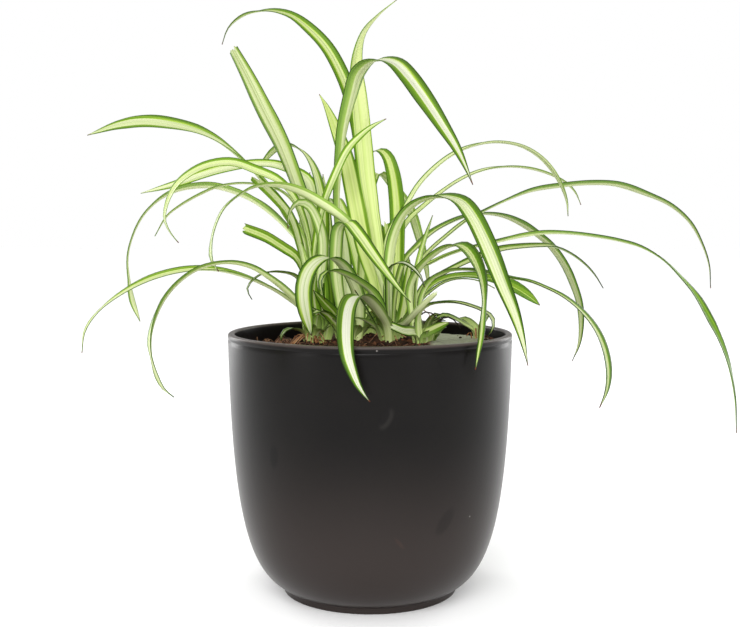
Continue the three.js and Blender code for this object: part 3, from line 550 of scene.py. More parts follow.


# Every leaf repeats the frame's course in mm as it looks from the front: across, up, deep. Width is in mm,
# roll in degrees from root to tip, cut the share of the length that is left where the leaf is broken, and
# heading the direction in degrees that it counts as growing in. The rest is its look where it isn't the
# usual one: tone -1 dark to 1 light, which holds the leaf's own shade together with painted light and shade
# for where it stands in the plant, stripe as a share of the half width, cream how white it is, dry as the
# share of the length that has browned at the tip, shift how far the stripe lies to one side, rim how dark the
# edges are, greening how far the stripe dies out towards the tip, taper how blunt the leaf is, and widths as
# pairs of share of the length and factor on the width.
usualLook = {"tone": 0.02, "stripe": 0.48, "cream": 0.15, "dry": 0.008, "rim": 0.55, "greening": 0.0}
leftLeaves = [
    # the tall broken leaf at the upper left
    {"width": 11.2, "roll": [40, 45, 48, 55, 62, 72, 80, 66], "cut": 0.74, "tone": -0.6, "cream": 0.4,
     "shift": 0.05, "rim": 0.9,
     "widths": [(0.76, 1), (1, 0.7)],
     "course": [(-29, 150, 8), (-29, 168, 9), (-30.5, 186, 10), (-34.5, 204, 11), (-39, 217, 12),
        (-46.3, 236, 14), (-56, 255.5, 16), (-64.6, 273, 18), (-71, 285, 20)]},
    {"width": 7.5, "roll": [30, 55, 80], "tone": 0.12, "stripe": 0.55, "rim": 0.3,
     "course": [(-30, 160, 6), (-29.5, 178, 5), (-27.5, 192, 1), (-24, 206, -2), (-18.5, 220, -4),
        (-11.5, 234, -6), (-5, 241, -8), (1, 245.8, -10), (8.5, 249.8, -12)]},
    # the broad leaf at the far left
    {"width": 10.8, "roll": [30, 40, 55, 62, 25, -5, -32, -55, -55], "tone": -0.22, "stripe": 0.45,
     "cream": 0.3, "taper": 5,
     "widths": [(0.5, 0.85), (0.6, 0.8), (0.7, 1.2), (0.85, 1.1), (1, 1.05)],
     "course": [(-32, 160, 10), (-35, 184, 14), (-41, 195, 18), (-50, 209, 23), (-62, 224, 29),
        (-70, 231.3, 33), (-80, 238.8, 38), (-90, 243.5, 42), (-103, 246.8, 48), (-118, 248.3, 54),
        (-132, 246.5, 61), (-148, 241.3, 68)]},
    {"width": 10, "roll": [0, -5, -14, -26, -30, -26, -40, -54, -60], "tone": -0.05, "stripe": 0.55,
     "cream": 0.35, "dry": 0, "rim": 0.3,
     "course": [(-29, 165, 12), (-29, 190, 15), (-30, 207, 16), (-33, 217.5, 17), (-40, 222.3, 19),
        (-50, 225.8, 21), (-60, 226.3, 22), (-70, 225, 23), (-80, 223, 24), (-90, 220, 26),
        (-100, 216.5, 28), (-120.5, 211, 32)]},
    # the pale arch on the left
    {"width": 8, "roll": [0, -10, -30, -40, -25, -5], "tone": -0.05, "stripe": 0.6, "rim": 0.3,
     "widths": [(0.35, 1), (0.5, 1.1), (0.8, 1.15), (0.92, 1.1), (1, 1.4)],
     "course": [(-30, 165, 7), (-33, 190, 5), (-39, 207, 3), (-48, 217.5, 1), (-60, 223, -1),
        (-72, 227, -4), (-84, 226, -6), (-94, 221.7, -8), (-102, 215, -10), (-107, 205, -12),
        (-108, 197, -12), (-105, 190, -12), (-101, 185, -12)]},
    {"width": 6.3, "roll": [0, 0, 0], "dry": 0, "rim": 0.5,
     "widths": [(0.7, 1), (0.8, 1.4), (1, 1.3)],
     "course": [(-31, 165, 10), (-35, 192, 12), (-40, 206, 13), (-48, 213, 14), (-60, 216, 14),
        (-70, 216.3, 14), (-80, 214.5, 15), (-90, 210.2, 17), (-100, 204.5, 19), (-107, 199, 21),
        (-113.5, 188.5, 22)]},
    # the long one that falls far left
    {"width": 9.3, "roll": [10, 15, 20, 18, 14, 12, 8, -15, -27, -20, 35], "tone": -0.05, "dry": 0,
     "taper": 6,
     "widths": [(0.3, 1.1), (0.45, 1.9), (0.55, 1.5), (0.7, 0.65), (0.8, 0.55), (0.86, 0.5), (0.95, 1.1),
        (1, 1.1)],
     "course": [(-31, 160, 9), (-34, 180, 12), (-42, 191, 17), (-50, 199.3, 22), (-60, 207, 27),
        (-70, 211.7, 32), (-83, 214.7, 38), (-98, 213.5, 44), (-109, 209, 48), (-119, 200, 52),
        (-125.2, 188.5, 54), (-128, 177, 55), (-127.3, 165, 55), (-126, 155, 55), (-122, 143.3, 54)]},
    # the short cut leaf on the left
    {"width": 8, "roll": [20, -45, -60], "cut": 0.8, "tone": -0.1, "stripe": 0.3, "cream": 0, "rim": 0.8,
     "course": [(-33, 160, 9), (-36, 172, 7), (-39.5, 178, 6), (-45, 181.8, 4), (-50, 185, 2),
        (-55, 188, 0), (-66.5, 192.5, -4)]},
    {"width": 6.5, "roll": [20, 40, 60, 80], "tone": -0.2, "dry": 0.02,
     "course": [(-27, 160, 5), (-25, 175, 2), (-25, 188, 0), (-28, 198, -2), (-32, 204.5, -4),
        (-37, 206.3, -6), (-41.3, 203, -7), (-43.2, 197.5, -8), (-43.3, 192.5, -8)]},
    # the lowest arch on the left
    {"width": 8, "roll": [0, -8, -14, -8], "tone": -0.05, "rim": 0.6,
     "widths": [(0.4, 1.15), (0.6, 1.2), (0.7, 1.05), (0.8, 0.7), (0.86, 0.35), (0.92, 0.8), (1, 0.95)],
     "course": [(-34, 146, 5), (-45, 156.7, 0), (-60, 165, -7), (-78, 170.5, -15), (-95, 171, -23),
        (-115, 166.5, -32), (-132, 158, -40), (-145.2, 147.5, -46), (-151.5, 138, -49),
        (-153.2, 126.3, -50)]},
    # the arch that falls before the pot on the left
    {"width": 8.2, "roll": [0, 5, 10, 12, 15, 30, 42, 38, 20], "tone": -0.1, "dry": 0, "rim": 0.8,
     "taper": 8,
     "widths": [(0.25, 0.9), (0.35, 0.65), (0.5, 0.8), (0.6, 1.1), (0.7, 1.4), (0.8, 1.5), (0.85, 1.6),
        (0.885, 0.7), (0.93, 1.5), (1, 1.4)],
     "course": [(-36, 149, 0), (-44, 159, -8), (-52, 165.6, -15), (-62, 171.8, -24), (-74, 174.6, -35),
        (-86, 173, -47), (-96, 168.5, -56), (-106.5, 159, -66), (-113.5, 147, -73), (-117, 133, -77),
        (-115, 119, -79), (-110, 107.5, -80), (-104.5, 102.7, -80)]},
    # the dark hook on the left
    {"width": 5.6, "roll": [0, 10], "tone": -1, "stripe": 0.3, "cream": 0, "dry": 0, "rim": 0.7,
     "course": [(-33, 155, 2), (-36, 164, 0), (-41, 168.3, -3), (-48, 169.8, -7), (-54, 169.6, -10),
        (-59.5, 167.3, -13), (-63.5, 163.7, -15), (-65, 160, -16), (-62.5, 155, -16)]},
    {"width": 7.5, "roll": [0, -25, -10, 20, 20], "tone": -0.05, "rim": 0.6,
     "widths": [(0.25, 1.1), (0.7, 1.15), (1, 1.1)],
     "course": [(-28, 165, 12), (-25.5, 185, 14), (-25, 200, 16), (-26.5, 213, 18), (-30, 225, 21),
        (-35, 232.6, 24), (-41, 236, 28), (-48, 235, 31), (-55, 228.5, 35), (-59, 221, 38)]},
    {"width": 6, "roll": [60, 60, 60], "tone": -0.2, "dry": 0.02,
     "course": [(-34, 160, 13), (-36, 175, 16), (-36.8, 188, 19), (-35.8, 200, 22), (-33.8, 211, 24),
        (-31.5, 222, 26)]},
    # the small dark one low on the left
    {"width": 6, "roll": [0, 0], "tone": -1.3, "stripe": 0.1,
     "course": [(-34, 136.5, 4), (-38, 139, 1), (-43, 139.6, -3), (-46.5, 137, -5), (-47.3, 132.8, -6)]},
    {"width": 6, "roll": [0, 0], "heading": 90, "tone": 0.1,
     "course": [(-28, 140, 9), (-26, 147, 11), (-24.5, 154, 12), (-24, 160, 13)]},
    {"width": 8, "roll": [0, -30, -45], "cut": 0.72, "tone": 0.05, "stripe": 0.4, "cream": 0.3,
     "shift": -0.2, "rim": 0.4,
     "course": [(-33, 160, 8), (-37, 182, 8), (-42.5, 199, 7), (-50, 208.5, 6), (-60, 218.5, 5)]},
    # inner leaves that only the finished piece has; their darker tones are painted shade deep in the plant
    {"width": 6.5, "roll": [10, 20], "heading": 90, "tone": -0.2, "stripe": 0.3,
     "course": [(-25, 145, 6), (-24.5, 158, 5), (-25.5, 170, 5), (-27.5, 181, 6)]},
    {"width": 7.5, "roll": [20, 30], "heading": 90, "tone": -0.7, "stripe": 0.2, "rim": 1.0,
     "course": [(-22, 140, 8), (-21.8, 150, 7), (-22.5, 162, 6), (-23.5, 174, 6)]},
    {"width": 6, "roll": [20, 40], "heading": 90, "tone": -0.3, "stripe": 0.2,
     "course": [(-27, 142, 4), (-29, 152, 2), (-29.5, 161, 1), (-28.5, 169, 1)]},
]
middleLeaves = [
    # the tall leaf that folds over to the right
    {"width": 12, "roll": [55, 50, 46, 42, 32, 16, 0, 18, 40, 35, 20], "tone": -0.35, "stripe": 0.28,
     "cream": 0.75, "shift": 0.06, "dry": 0.009, "rim": 0.9,
     "course": [(-17, 150, 11), (-17.5, 170, 10), (-17, 190, 9), (-17.2, 210, 7), (-15.8, 228, 5),
        (-13.7, 245, 3), (-9.5, 262, -1), (-6, 273, -6), (-0.5, 279, -12), (6, 280.5, -18),
        (13, 278.5, -24), (20, 271.5, -30), (29, 259.5, -38), (38, 246, -45), (45, 235, -50),
        (50, 225, -54), (54, 215.5, -57)]},
    # the tall arch to the left
    {"width": 9.5, "roll": [-60, -50, -42, -45, 15], "tone": -0.4, "stripe": 0.3, "cream": 0.1, "rim": 0.8,
     "widths": [(0.65, 0.93), (0.8, 0.9), (0.86, 1.25), (0.9, 1.5), (0.96, 0.5), (1, 0.6)],
     "course": [(-6, 150, 17), (-4, 170, 20), (-3, 190, 20), (-3.5, 210, 20), (-4.5, 230, 20),
        (-7, 248, 20), (-11.3, 264, 21), (-16.5, 276.5, 23), (-23, 287.3, 25), (-31.5, 296.2, 28),
        (-41, 303, 31), (-52, 305.5, 34), (-62, 304.3, 37), (-69, 301, 40), (-74, 296, 42),
        (-77, 288, 43)]},
    {"width": 8.5, "roll": [0, 0, 10, 0], "tone": -0.15, "stripe": 0.42, "rim": 0.95,
     "course": [(-15, 150, 4), (-17.5, 168, 0), (-17.5, 184, -6), (-16, 193.5, -12), (-12, 196, -18),
        (-6, 189.5, -26), (1, 179.5, -33), (8, 170, -39), (15, 161, -44), (21.5, 153.5, -47)]},
    # the broad one that arches low in front
    {"width": 9, "roll": [0, 0, -10, -20], "tone": -0.4, "stripe": 0.5, "cream": 0.5, "rim": 1, "taper": 8,
     "course": [(-6, 140, 3), (-5.8, 148, 0), (-6.5, 157, -4), (-10, 166, -9), (-15, 173.5, -14),
        (-21, 177.3, -18), (-27, 176, -23), (-32, 171, -27), (-34.8, 163.5, -30), (-35.2, 156, -32),
        (-34, 148, -33), (-32.3, 141, -33), (-31, 135.8, -32)]},
    {"width": 5.5, "roll": [20, 20], "tone": -0.1, "stripe": 0.3, "rim": 1,
     "course": [(-17, 139, 6), (-22, 144, 4), (-28, 149, 1), (-33, 151.5, -2)]},
    {"width": 5, "roll": [40, 60], "tone": -0.1,
     "course": [(-15, 150, 8), (-19, 165, 7), (-21.5, 178, 6), (-24, 190, 5), (-27, 201, 4)]},
    {"width": 8, "roll": [0, 0], "tone": -0.1,
     "course": [(-13, 145, 14), (-17, 160, 19), (-20, 175, 23), (-22.5, 190, 26), (-23.5, 205, 29),
        (-24.7, 221, 33)]},
    {"width": 7, "roll": [30, 30],
     "course": [(-14, 140, 14), (-18, 150, 19), (-22, 160, 23), (-24, 170, 26), (-24, 180, 28)]},
    {"width": 7, "roll": [-40, -20],
     "course": [(-6, 142, 13), (-2, 152, 18), (2, 162, 23), (5, 172, 27.6), (7, 184, 31.4)]},
    # inner leaves that only the finished piece has; their darker tones are painted shade deep in the plant
    {"width": 7, "roll": [-20, 0], "heading": 90, "tone": -0.1, "stripe": 0.25, "rim": 1.0,
     "course": [(-16.5, 140, 10), (-18.5, 152, 10), (-20.5, 164, 11), (-22.5, 175, 12)]},
    {"width": 7, "roll": [0, 10], "heading": 90, "tone": -0.9, "stripe": 0.1, "cream": 0, "rim": 1.0,
     "course": [(-15, 140, 7), (-19, 147.5, 4), (-24, 153, 2), (-30, 160, 0)]},
    {"width": 6.5, "roll": [0, -20], "heading": 90, "tone": -0.6, "stripe": 0.2, "rim": 1.0,
     "course": [(-15, 138, 3), (-18.5, 143, 0), (-23, 147.5, -2), (-27.5, 149, -3), (-31, 147.5, -4)]},
    {"width": 7.5, "roll": [0, 10], "tone": 0.05, "stripe": 0.6, "cream": 0.4,
     "course": [(-11.5, 140, 13), (-11.8, 155, 16), (-12.5, 170, 19), (-14, 186, 22), (-16, 200, 25)]},
    {"width": 6.5, "roll": [-30, -10], "heading": 90, "tone": -0.25, "stripe": 0.3,
     "course": [(-7, 140, 6), (-6, 150, 4), (-5.5, 160, 3), (-6.5, 169, 3)]},
]
rightLeaves = [
    # the tall one at the top right
    {"width": 10.5, "roll": [40, 45, 45, 45, 40, 15, 0, 20, 48, 85, 115], "heading": 90, "tone": 0,
     "stripe": 0.74, "cream": 0.1, "rim": 0.15,
     "course": [(8, 150, 8), (5.5, 165, 9), (3, 187, 11), (0.5, 203, 12), (-2, 220, 13), (-3.5, 235, 14),
        (-5, 250, 15), (-6.3, 263, 17), (-7.3, 276, 19), (-6, 287, 21), (-3, 295, 23), (4, 303, 26),
        (14, 311, 30)]},
    # the broad upright leaf
    {"width": 10, "roll": [0, 0, 0], "heading": 90, "tone": 0.05, "stripe": 0.66, "cream": 0, "rim": 0.15,
     "course": [(7, 150, 5), (3, 165, 6), (-3, 183, 6), (-7, 202, 7), (-9.5, 215, 13), (-12, 227, 17),
        (-15, 237, 19), (-19, 247.5, 20), (-23, 256.5, 20), (-26.5, 262.5, 20)]},
    {"width": 9, "roll": [-52, -44, -12], "tone": 0.08, "stripe": 0.3, "cream": 0, "rim": 0.35,
     "course": [(14.8, 150, 14), (14.6, 165, 16), (14.6, 180, 18), (14.6, 195, 20), (13.8, 210, 22),
        (12, 222, 24), (9, 230.5, 27), (5, 233.6, 31), (0, 231.6, 35), (-4, 224, 38)]},
    {"width": 8, "roll": [0, 10, 0], "tone": -0.05, "stripe": 0.56, "rim": 0.2,
     "course": [(6, 150, 15), (3, 180, 22), (1, 200, 26), (0, 214, 29), (3.5, 221.8, 31), (8, 219.6, 33),
        (13, 213.4, 35), (18, 207, 37), (22, 200, 38), (25.2, 190, 39), (28, 180, 40), (30, 170, 40),
        (31.5, 157.5, 40)]},
    # the pale one that reaches over to the left
    {"width": 7.6, "roll": [0, 5, 8, 12, 34, 22, 8, 3, 0], "tone": 0.1, "stripe": 0.52, "cream": 0.3,
     "rim": 0.35, "taper": 6,
     "widths": [(0.4, 1), (0.6, 1.15), (0.8, 0.9), (0.91, 0.8), (0.95, 2.2), (1, 2.2)],
     "course": [(9, 150, 2), (4, 170, -1), (-3, 186, -4), (-14, 197.5, -7), (-25, 205.3, -9),
        (-35, 211, -11), (-45, 214.6, -14), (-55, 215.2, -17), (-62, 214, -20), (-70, 209.5, -23),
        (-77, 203, -26), (-81.5, 194, -28), (-83.8, 184, -29), (-83.5, 176, -30), (-80, 169.8, -30)]},
    {"width": 7, "roll": [0, 0, 0], "tone": -0.05, "stripe": 0.75, "cream": 0.3, "rim": 0.4, "taper": 5,
     "widths": [(0.45, 1), (0.6, 1.2), (0.8, 1.1), (1, 1)],
     "course": [(9, 150, 7), (8, 165, 10), (8, 180, 13), (11, 192, 15), (17.8, 202.2, 17),
        (25.8, 215.6, 20), (35.6, 225.8, 23), (44.4, 232, 26), (55, 236.3, 30), (66, 237.8, 34),
        (78, 236, 38), (87, 231.5, 41), (94, 225, 43), (100, 216, 45), (103.5, 207, 46), (104.3, 199, 46)]},
    {"width": 5.5, "roll": [0, 0, 0], "tone": -0.05, "stripe": 0.6, "cream": 0.2, "rim": 0.4,
     "widths": [(0.4, 1.1), (0.5, 0.85), (0.6, 1.1), (0.7, 1.6), (0.9, 1.4), (1, 1.2)],
     "course": [(10, 160, 14), (11.5, 175, 19), (15, 188, 24), (21, 197.5, 28), (28, 204, 32),
        (36, 210.5, 37), (45, 216.8, 46), (55, 221.8, 57), (65, 224.5, 68), (76, 225, 78), (87, 223.3, 88),
        (96, 220.3, 95), (103, 216.5, 100), (108, 211.5, 103), (111, 205, 105)]},
    # the broad leaf that falls over the rim on the right
    {"width": 11.5, "roll": [0, 3, 8, 12, 5, 20, 25, 20, 10], "tone": -0.08, "stripe": 0.52, "cream": 0.5,
     "shift": 0, "dry": 0.009, "rim": 1,
     "course": [(10, 150, 2), (10.5, 170, 0), (12.5, 187, -3), (17.5, 199, -8), (24.5, 206, -14),
        (33, 209.3, -21), (41, 209.3, -28), (48, 206.5, -34), (54, 199, -40), (59.5, 188.5, -45),
        (65, 176, -50), (70.4, 162.5, -54), (76.2, 148.5, -58), (80.5, 135, -61), (84.1, 119.6, -63)]},
    {"width": 8.2, "roll": [0, 0, 0], "tone": -0.55, "stripe": 0.36, "rim": 1,
     "widths": [(0.45, 0.95), (0.6, 1.5), (0.7, 1.15), (1, 1.15)],
     "course": [(14, 160, 12), (18.5, 175.8, 16), (24.8, 183, 20), (32.3, 190.3, 26), (41, 195.4, 34),
        (50, 198.9, 42), (60, 200.6, 49), (70, 199.2, 55), (79, 195.3, 60), (87, 190, 64), (95, 183.5, 67),
        (102.5, 173.5, 69), (107.5, 163, 72), (111, 152.5, 74), (112, 141, 75), (111, 131, 75),
        (107.5, 122, 74)]},
    # the leaf that hangs over the rim in front
    {"width": 9.5, "roll": [0, 0, 0], "tone": -0.4, "stripe": 0.42, "cream": 0.85, "shift": 0.1, "rim": 0.9,
     "course": [(9, 140, -3), (5.5, 147, -12), (1, 153, -22), (-4, 157, -34), (-9, 156, -47),
        (-12, 150, -60), (-13, 141.5, -71), (-13, 133, -78), (-12, 124.5, -82), (-9.5, 116.5, -84),
        (-6.5, 109.5, -85), (-3.5, 104.7, -85), (0, 100.3, -85)]},
    {"width": 8, "roll": [0, 10], "tone": -0.15, "stripe": 0.2, "cream": 0, "rim": 1,
     "course": [(7, 142, 0), (5.5, 150, -5), (1.5, 158.5, -11), (-5, 164, -17), (-12, 168, -22),
        (-19, 170.5, -25), (-24, 169.3, -27), (-26.3, 165, -28), (-25.5, 159.5, -29), (-24, 155, -29)]},
    {"width": 4, "roll": [20, 20], "tone": -0.9, "stripe": 0.3, "cream": 0.9, "rim": 1,
     "course": [(9.5, 158, -5), (9.5, 168, -8), (12, 173.3, -13), (17, 174.7, -17), (22, 172.3, -21),
        (26.5, 167.5, -24), (29, 161.5, -25)]},
    {"width": 5.5, "roll": [0, 0], "cut": 0.7, "heading": 90, "tone": -0.35, "stripe": 0.2,
     "course": [(9, 160, 12), (9.5, 175, 15), (9.5, 186, 17), (8.5, 195, 18)]},
    {"width": 4.5, "roll": [20, 20], "tone": -0.35, "stripe": 0.25,
     "course": [(5, 138, 0), (1, 142, -3), (-4, 144.8, -5), (-9, 145.5, -7)]},
    # the thin pale one that leans right
    {"width": 3.4, "roll": [-50, -50], "cut": 0.88, "tone": -0.25, "stripe": 0.85, "cream": 0.3, "dry": 0,
     "rim": 0.1,
     "course": [(13, 139, 0), (18.5, 142, -13), (24, 148, -23), (30, 154, -28), (35, 158.5, -31)]},
    # inner leaves that only the finished piece has; their darker tones are painted shade deep in the plant
    {"width": 7, "roll": [10, -10], "tone": -0.2, "stripe": 0.4,
     "course": [(7, 140, 10), (4.5, 155, 13), (2.5, 170, 16), (1, 185, 19)]},
    {"width": 6.5, "roll": [-20, -30], "tone": -0.8, "stripe": 0.25, "rim": 1.0,
     "course": [(4, 139, -1), (0, 147, -4), (-4, 154, -6), (-8, 160, -7)]},
    {"width": 7, "roll": [20, 10], "heading": 90, "tone": -0.15, "stripe": 0.35,
     "course": [(16, 141, 6), (18.5, 153, 7), (20, 165, 9), (21, 176, 11)]},
]
frontLeaves = [
    # the one that hangs over the rim on the right
    {"width": 9.5, "roll": [26, 34, 38, 34, 26, 10, 0, -30, -42, -25, 0], "tone": -0.1, "stripe": 0.36,
     "rim": 1, "greening": 0.2,
     "widths": [(0.7, 1), (0.78, 0.7), (0.85, 0.9), (1, 0.95)],
     "course": [(22, 150, -8), (21.5, 161, -10), (26, 171, -14), (34, 179, -20), (42, 183.5, -26),
        (47.7, 184, -31), (52.6, 180.3, -36), (56.5, 173.4, -41), (59.3, 165, -46), (60.3, 155, -50),
        (59.8, 145, -54), (58.9, 135, -57.5), (57.4, 126, -59.5), (56.1, 117.5, -61)]},
    # the long high one on the right
    {"width": 8.1, "roll": [0, 0, -8, -18, -12, 5, 20], "tone": -0.4, "rim": 1,
     "widths": [(0.2, 0.8), (0.4, 0.8), (0.5, 1.15), (0.7, 1.3), (0.8, 1), (0.9, 0.7), (1, 0.9)],
     "course": [(23, 150, -1), (23, 164, 5), (26, 174, 8), (32.3, 181.6, 13), (40.4, 188.7, 19),
        (50.4, 196.6, 29), (60, 202, 35), (72, 207.8, 42), (84, 212.3, 48), (100, 214.9, 56),
        (115, 216.2, 63), (130, 215.4, 70), (144.6, 210.7, 76), (158.4, 204.6, 81), (168.8, 195.6, 85),
        (175.4, 184.2, 88), (179.3, 173, 90), (180.3, 161, 90)]},
    # the longest, which reaches the far right
    {"width": 8.5, "roll": [24, 30, 18, 6, 0, -3, -12, 5, 22, 0, 0], "tone": 0.2, "stripe": 0.4, "rim": 1,
     "greening": 0.85, "taper": 9,
     "widths": [(0.3, 0.8), (0.4, 1.25), (0.5, 1), (0.6, 0.7), (0.68, 0.5), (0.76, 1), (0.82, 0.85),
        (0.9, 1.3), (1, 1.3)],
     "course": [(24, 158, -8), (26.5, 170.8, -9), (33, 175, -11), (42, 179.2, -13), (55, 183.2, -16),
        (67, 186, -19), (80, 189, -23), (93, 190.6, -27), (106, 190.3, -31), (120, 188.5, -35),
        (133, 186, -39), (144.6, 182.4, -43), (155.2, 176, -46), (164.5, 166.8, -49), (172.6, 157.2, -51),
        (179.3, 146.1, -53), (186, 133.4, -55), (191.5, 118.5, -57), (195, 101.5, -58), (196, 83.5, -58)]},
    {"width": 7.5, "roll": [0, 15, 5], "tone": -0.45, "stripe": 0.42, "dry": 0, "rim": 1,
     "widths": [(0.4, 0.9), (0.6, 1.25), (0.75, 1.5), (0.85, 1.1), (1, 0.9)],
     "course": [(24, 152, -3), (30, 163.5, 1), (38, 168.3, 4), (47, 173, 6), (57, 177.5, 8),
        (69, 181.5, 11), (80, 183, 13), (90, 183.6, 16), (97, 183.4, 18), (105, 180, 20), (113, 174.3, 22),
        (119, 168, 24), (123.5, 161, 25)]},
    {"width": 7, "roll": [0, 0, 0], "tone": -0.45, "stripe": 0.28, "dry": 0.016, "rim": 1, "taper": 8,
     "widths": [(0.5, 0.95), (0.6, 0.75), (0.75, 1), (0.85, 1.3), (0.95, 1.5), (1, 1.5)],
     "course": [(27, 155, -12), (32, 165, -14), (38, 169, -17), (45, 171, -20), (54, 171, -24),
        (64, 169.2, -29), (74, 166.8, -34), (84, 165, -39), (93, 161.5, -43), (102, 157, -48),
        (110, 151, -52), (117, 143.5, -55), (122, 135.5, -58), (125.5, 126, -60), (127, 116, -61),
        (126, 106, -61), (122.5, 97, -60)]},
    {"width": 7, "roll": [0, 20, 40], "tone": -0.05, "stripe": 0.25, "greening": 0.35, "taper": 7,
     "widths": [(0.6, 1), (0.85, 1.7), (1, 1.7)],
     "course": [(26, 152, -4), (32, 162, -4), (40, 166.3, -4), (50, 167.8, -4), (60, 167, -5),
        (70, 164.5, -6), (77, 161.3, -7), (83, 157.5, -8), (90, 152, -9)]},
    {"width": 4, "roll": [0, 0],
     "course": [(26, 152, 3), (33, 160, 7), (39, 164, 8), (46, 166, 9), (54, 165.8, 10), (60, 164, 11),
        (66, 161, 12)]},
    {"width": 4, "roll": [0, 0], "heading": -60, "tone": 0.1, "stripe": 0.25, "cream": 0,
     "course": [(23, 155, -2), (24, 165, 0), (25.5, 174, 2), (28, 184, 4), (30.5, 192, 5), (33, 199.5, 6)]},
    {"width": 6.8, "roll": [0, 0], "tone": -0.45, "stripe": 0.4, "rim": 1, "taper": 6,
     "course": [(26, 147, -14), (31, 152.3, -17), (38, 153.8, -20), (46, 153.6, -22), (54, 151.5, -24),
        (60, 149, -25), (64.3, 146, -26), (65.5, 142, -26), (64.3, 138.3, -26), (62, 135.3, -25)]},
    # the short pair low in front
    {"width": 6.6, "roll": [-40, -60], "cut": 0.8, "tone": -0.15, "stripe": 0.6, "cream": 0.6, "rim": 1,
     "course": [(25, 137, -13), (18, 138.3, -20), (11.5, 141, -23)]},
    {"width": 7.8, "roll": [40, 62], "tone": -0.2, "stripe": 0.2, "shift": 0.4, "taper": 4.5,
     "course": [(28.5, 136, -12.6), (32, 138, -16), (37, 140.4, -18), (42, 142.8, -20)]},
    # inner leaves that only the finished piece has; their dark tones are painted shade deep in the plant
    {"width": 6.5, "roll": [10, 30], "tone": -1.5, "stripe": 0.1, "rim": 1.0,
     "course": [(30, 138, -4), (33, 142, -2), (36.5, 144.5, 1), (40, 143.8, 4)]},
    {"width": 6.5, "roll": [-10, -20], "tone": -1.5, "stripe": 0.1, "rim": 1.0,
     "course": [(27, 139, -5), (25.5, 144, -5), (24, 148, -5), (21.5, 151.5, -5)]},
    {"width": 6, "roll": [10, 40], "tone": -1.5, "stripe": 0.15, "rim": 1.0,
     "course": [(30, 139, -7), (32, 144, -7), (34.5, 147, -7), (37.5, 147.2, -7)]},
]
backLeaves = [
    {"width": 9, "roll": [0, 0],
     "course": [(-6, 150, 45), (-11, 165, 50), (-17, 178, 58), (-22, 186, 70), (-26, 188, 84),
        (-28, 182, 98), (-29, 170, 110), (-29, 156, 118)]},
    {"width": 9, "roll": [0, 0],
     "course": [(0, 155, 48), (2, 175, 62), (4, 188, 80), (5, 190, 100), (6, 182, 118), (7, 168, 131),
        (8, 152, 140)]},
    {"width": 8.5, "roll": [0, 10],
     "course": [(4, 154, 46), (9, 168, 58), (14, 177, 73), (17, 178, 90), (18, 170, 105), (18, 155, 116),
        (18, 142, 122)]},
    {"width": 8, "roll": [0, 0],
     "course": [(-8, 150, 44), (-14, 163, 50), (-20, 171, 60), (-25, 171, 73), (-28, 162, 84),
        (-29, 150, 91)]},
    {"width": 8, "roll": [20, 20],
     "course": [(-1, 150, 42), (-1, 166, 46), (-1.5, 182, 50), (-3, 197, 55), (-5, 209, 61)]},
    {"width": 7.5, "roll": [0, 10],
     "course": [(-4, 152, 48), (-6, 164, 60), (-8, 168, 76), (-9, 162, 92), (-9, 150, 103),
        (-9, 138, 110)]},
    {"width": 8, "roll": [0, 0],
     "course": [(-4, 160, 42), (-9, 184, 47), (-14, 200, 56), (-18, 208, 69), (-21, 205, 84),
        (-22, 193, 97)]},
    {"width": 7, "roll": [-20, -20],
     "course": [(-8, 146, 40), (-13, 158, 42), (-18, 172, 44), (-22, 186, 47), (-25, 200, 51)]},
]
plantletLeaves = [
    {"width": 5.6, "roll": [-30, -30], "tone": -0.3, "rim": 1,
     "course": [(55, 138.5, 4), (50, 142, 2), (45, 145, 0), (40, 146.8, -2), (36.5, 146, -3),
        (34, 143.6, -4)]},
    {"width": 5.2, "roll": [-30, -30], "tone": -0.3, "rim": 1,
     "course": [(56, 139.5, 6), (53, 143, 8), (49.5, 145, 10), (45.5, 144.2, 12)]},
    {"width": 4, "roll": [0, 0],
     "course": [(59, 140, 8), (61, 145, 13), (63, 147, 19), (65, 144.5, 26)]},
]

# Each shoot's frame node, piece, slot and leaves, and the leaves of its heart: how many, the span of their
# directions in degrees and their share of the usual length
shoots = [
    {"node": "shoot_left", "piece": "leftShoot", "slot": "leaf", "leaves": leftLeaves,
     "heart": (12, (-105, 125), 0.95)},
    {"node": "shoot_middle", "piece": "middleShoot", "slot": "leaf", "leaves": middleLeaves,
     "heart": (12, (-180, 180), 1.05)},
    {"node": "shoot_right", "piece": "rightShoot", "slot": "deep_leaf", "leaves": rightLeaves,
     "heart": (13, (-180, 180), 1.0)},
    {"node": "shoot_front", "piece": "frontShoot", "slot": "deep_leaf", "leaves": frontLeaves,
     "heart": (9, (-95, 200), 0.6)},
    {"node": "shoot_back", "piece": "backShoot", "slot": "leaf", "leaves": backLeaves,
     "heart": (6, (-180, 180), 1.0)},
    {"node": "plantlet", "piece": "youngPlantlet", "slot": "young_leaf", "leaves": plantletLeaves,
     "heart": (0, (0, 0), 1)},
]
# The short stout base that the leaves clasp, and the plantlet's, in mm
stoutCrown = {"radius": 5.2, "floor": 108, "top": 141, "rootDepth": 12, "steps": 28}
smallCrown = {"radius": 2.6, "floor": 120, "top": 140, "rootDepth": 7, "steps": 28}

# Sizes in mm, apart from shares and steps. The blade is thinner than the frame's solid one.
leafSet = {
    "rootSpread": 2, "acrossSteps": 8, "alongStep": 3.2, "fewestSteps": 12, "thickness": 0.5,
    "rimThickness": 0.16, "tipWidth": 0.4, "foldAtRoot": 31, "foldAtTip": 8, "channelSoftness": 0.22,
    "wave": 0.05, "waveLength": 22, "rootShare": 0.52, "widestFrom": 0.42, "taperFrom": 0.5,
    "taperPower": 3.2, "paleBase": 32, "tornFrom": 0.9, "tear": 3.2, "tearGrain": 2.6,
    "eyeDistance": 611, "eyeHeight": 198,
    "toneSpread": 0.1, "stripeSpread": 0.03, "shiftSpread": 0.12, "waveSeeds": 90, "seed": 5,
}


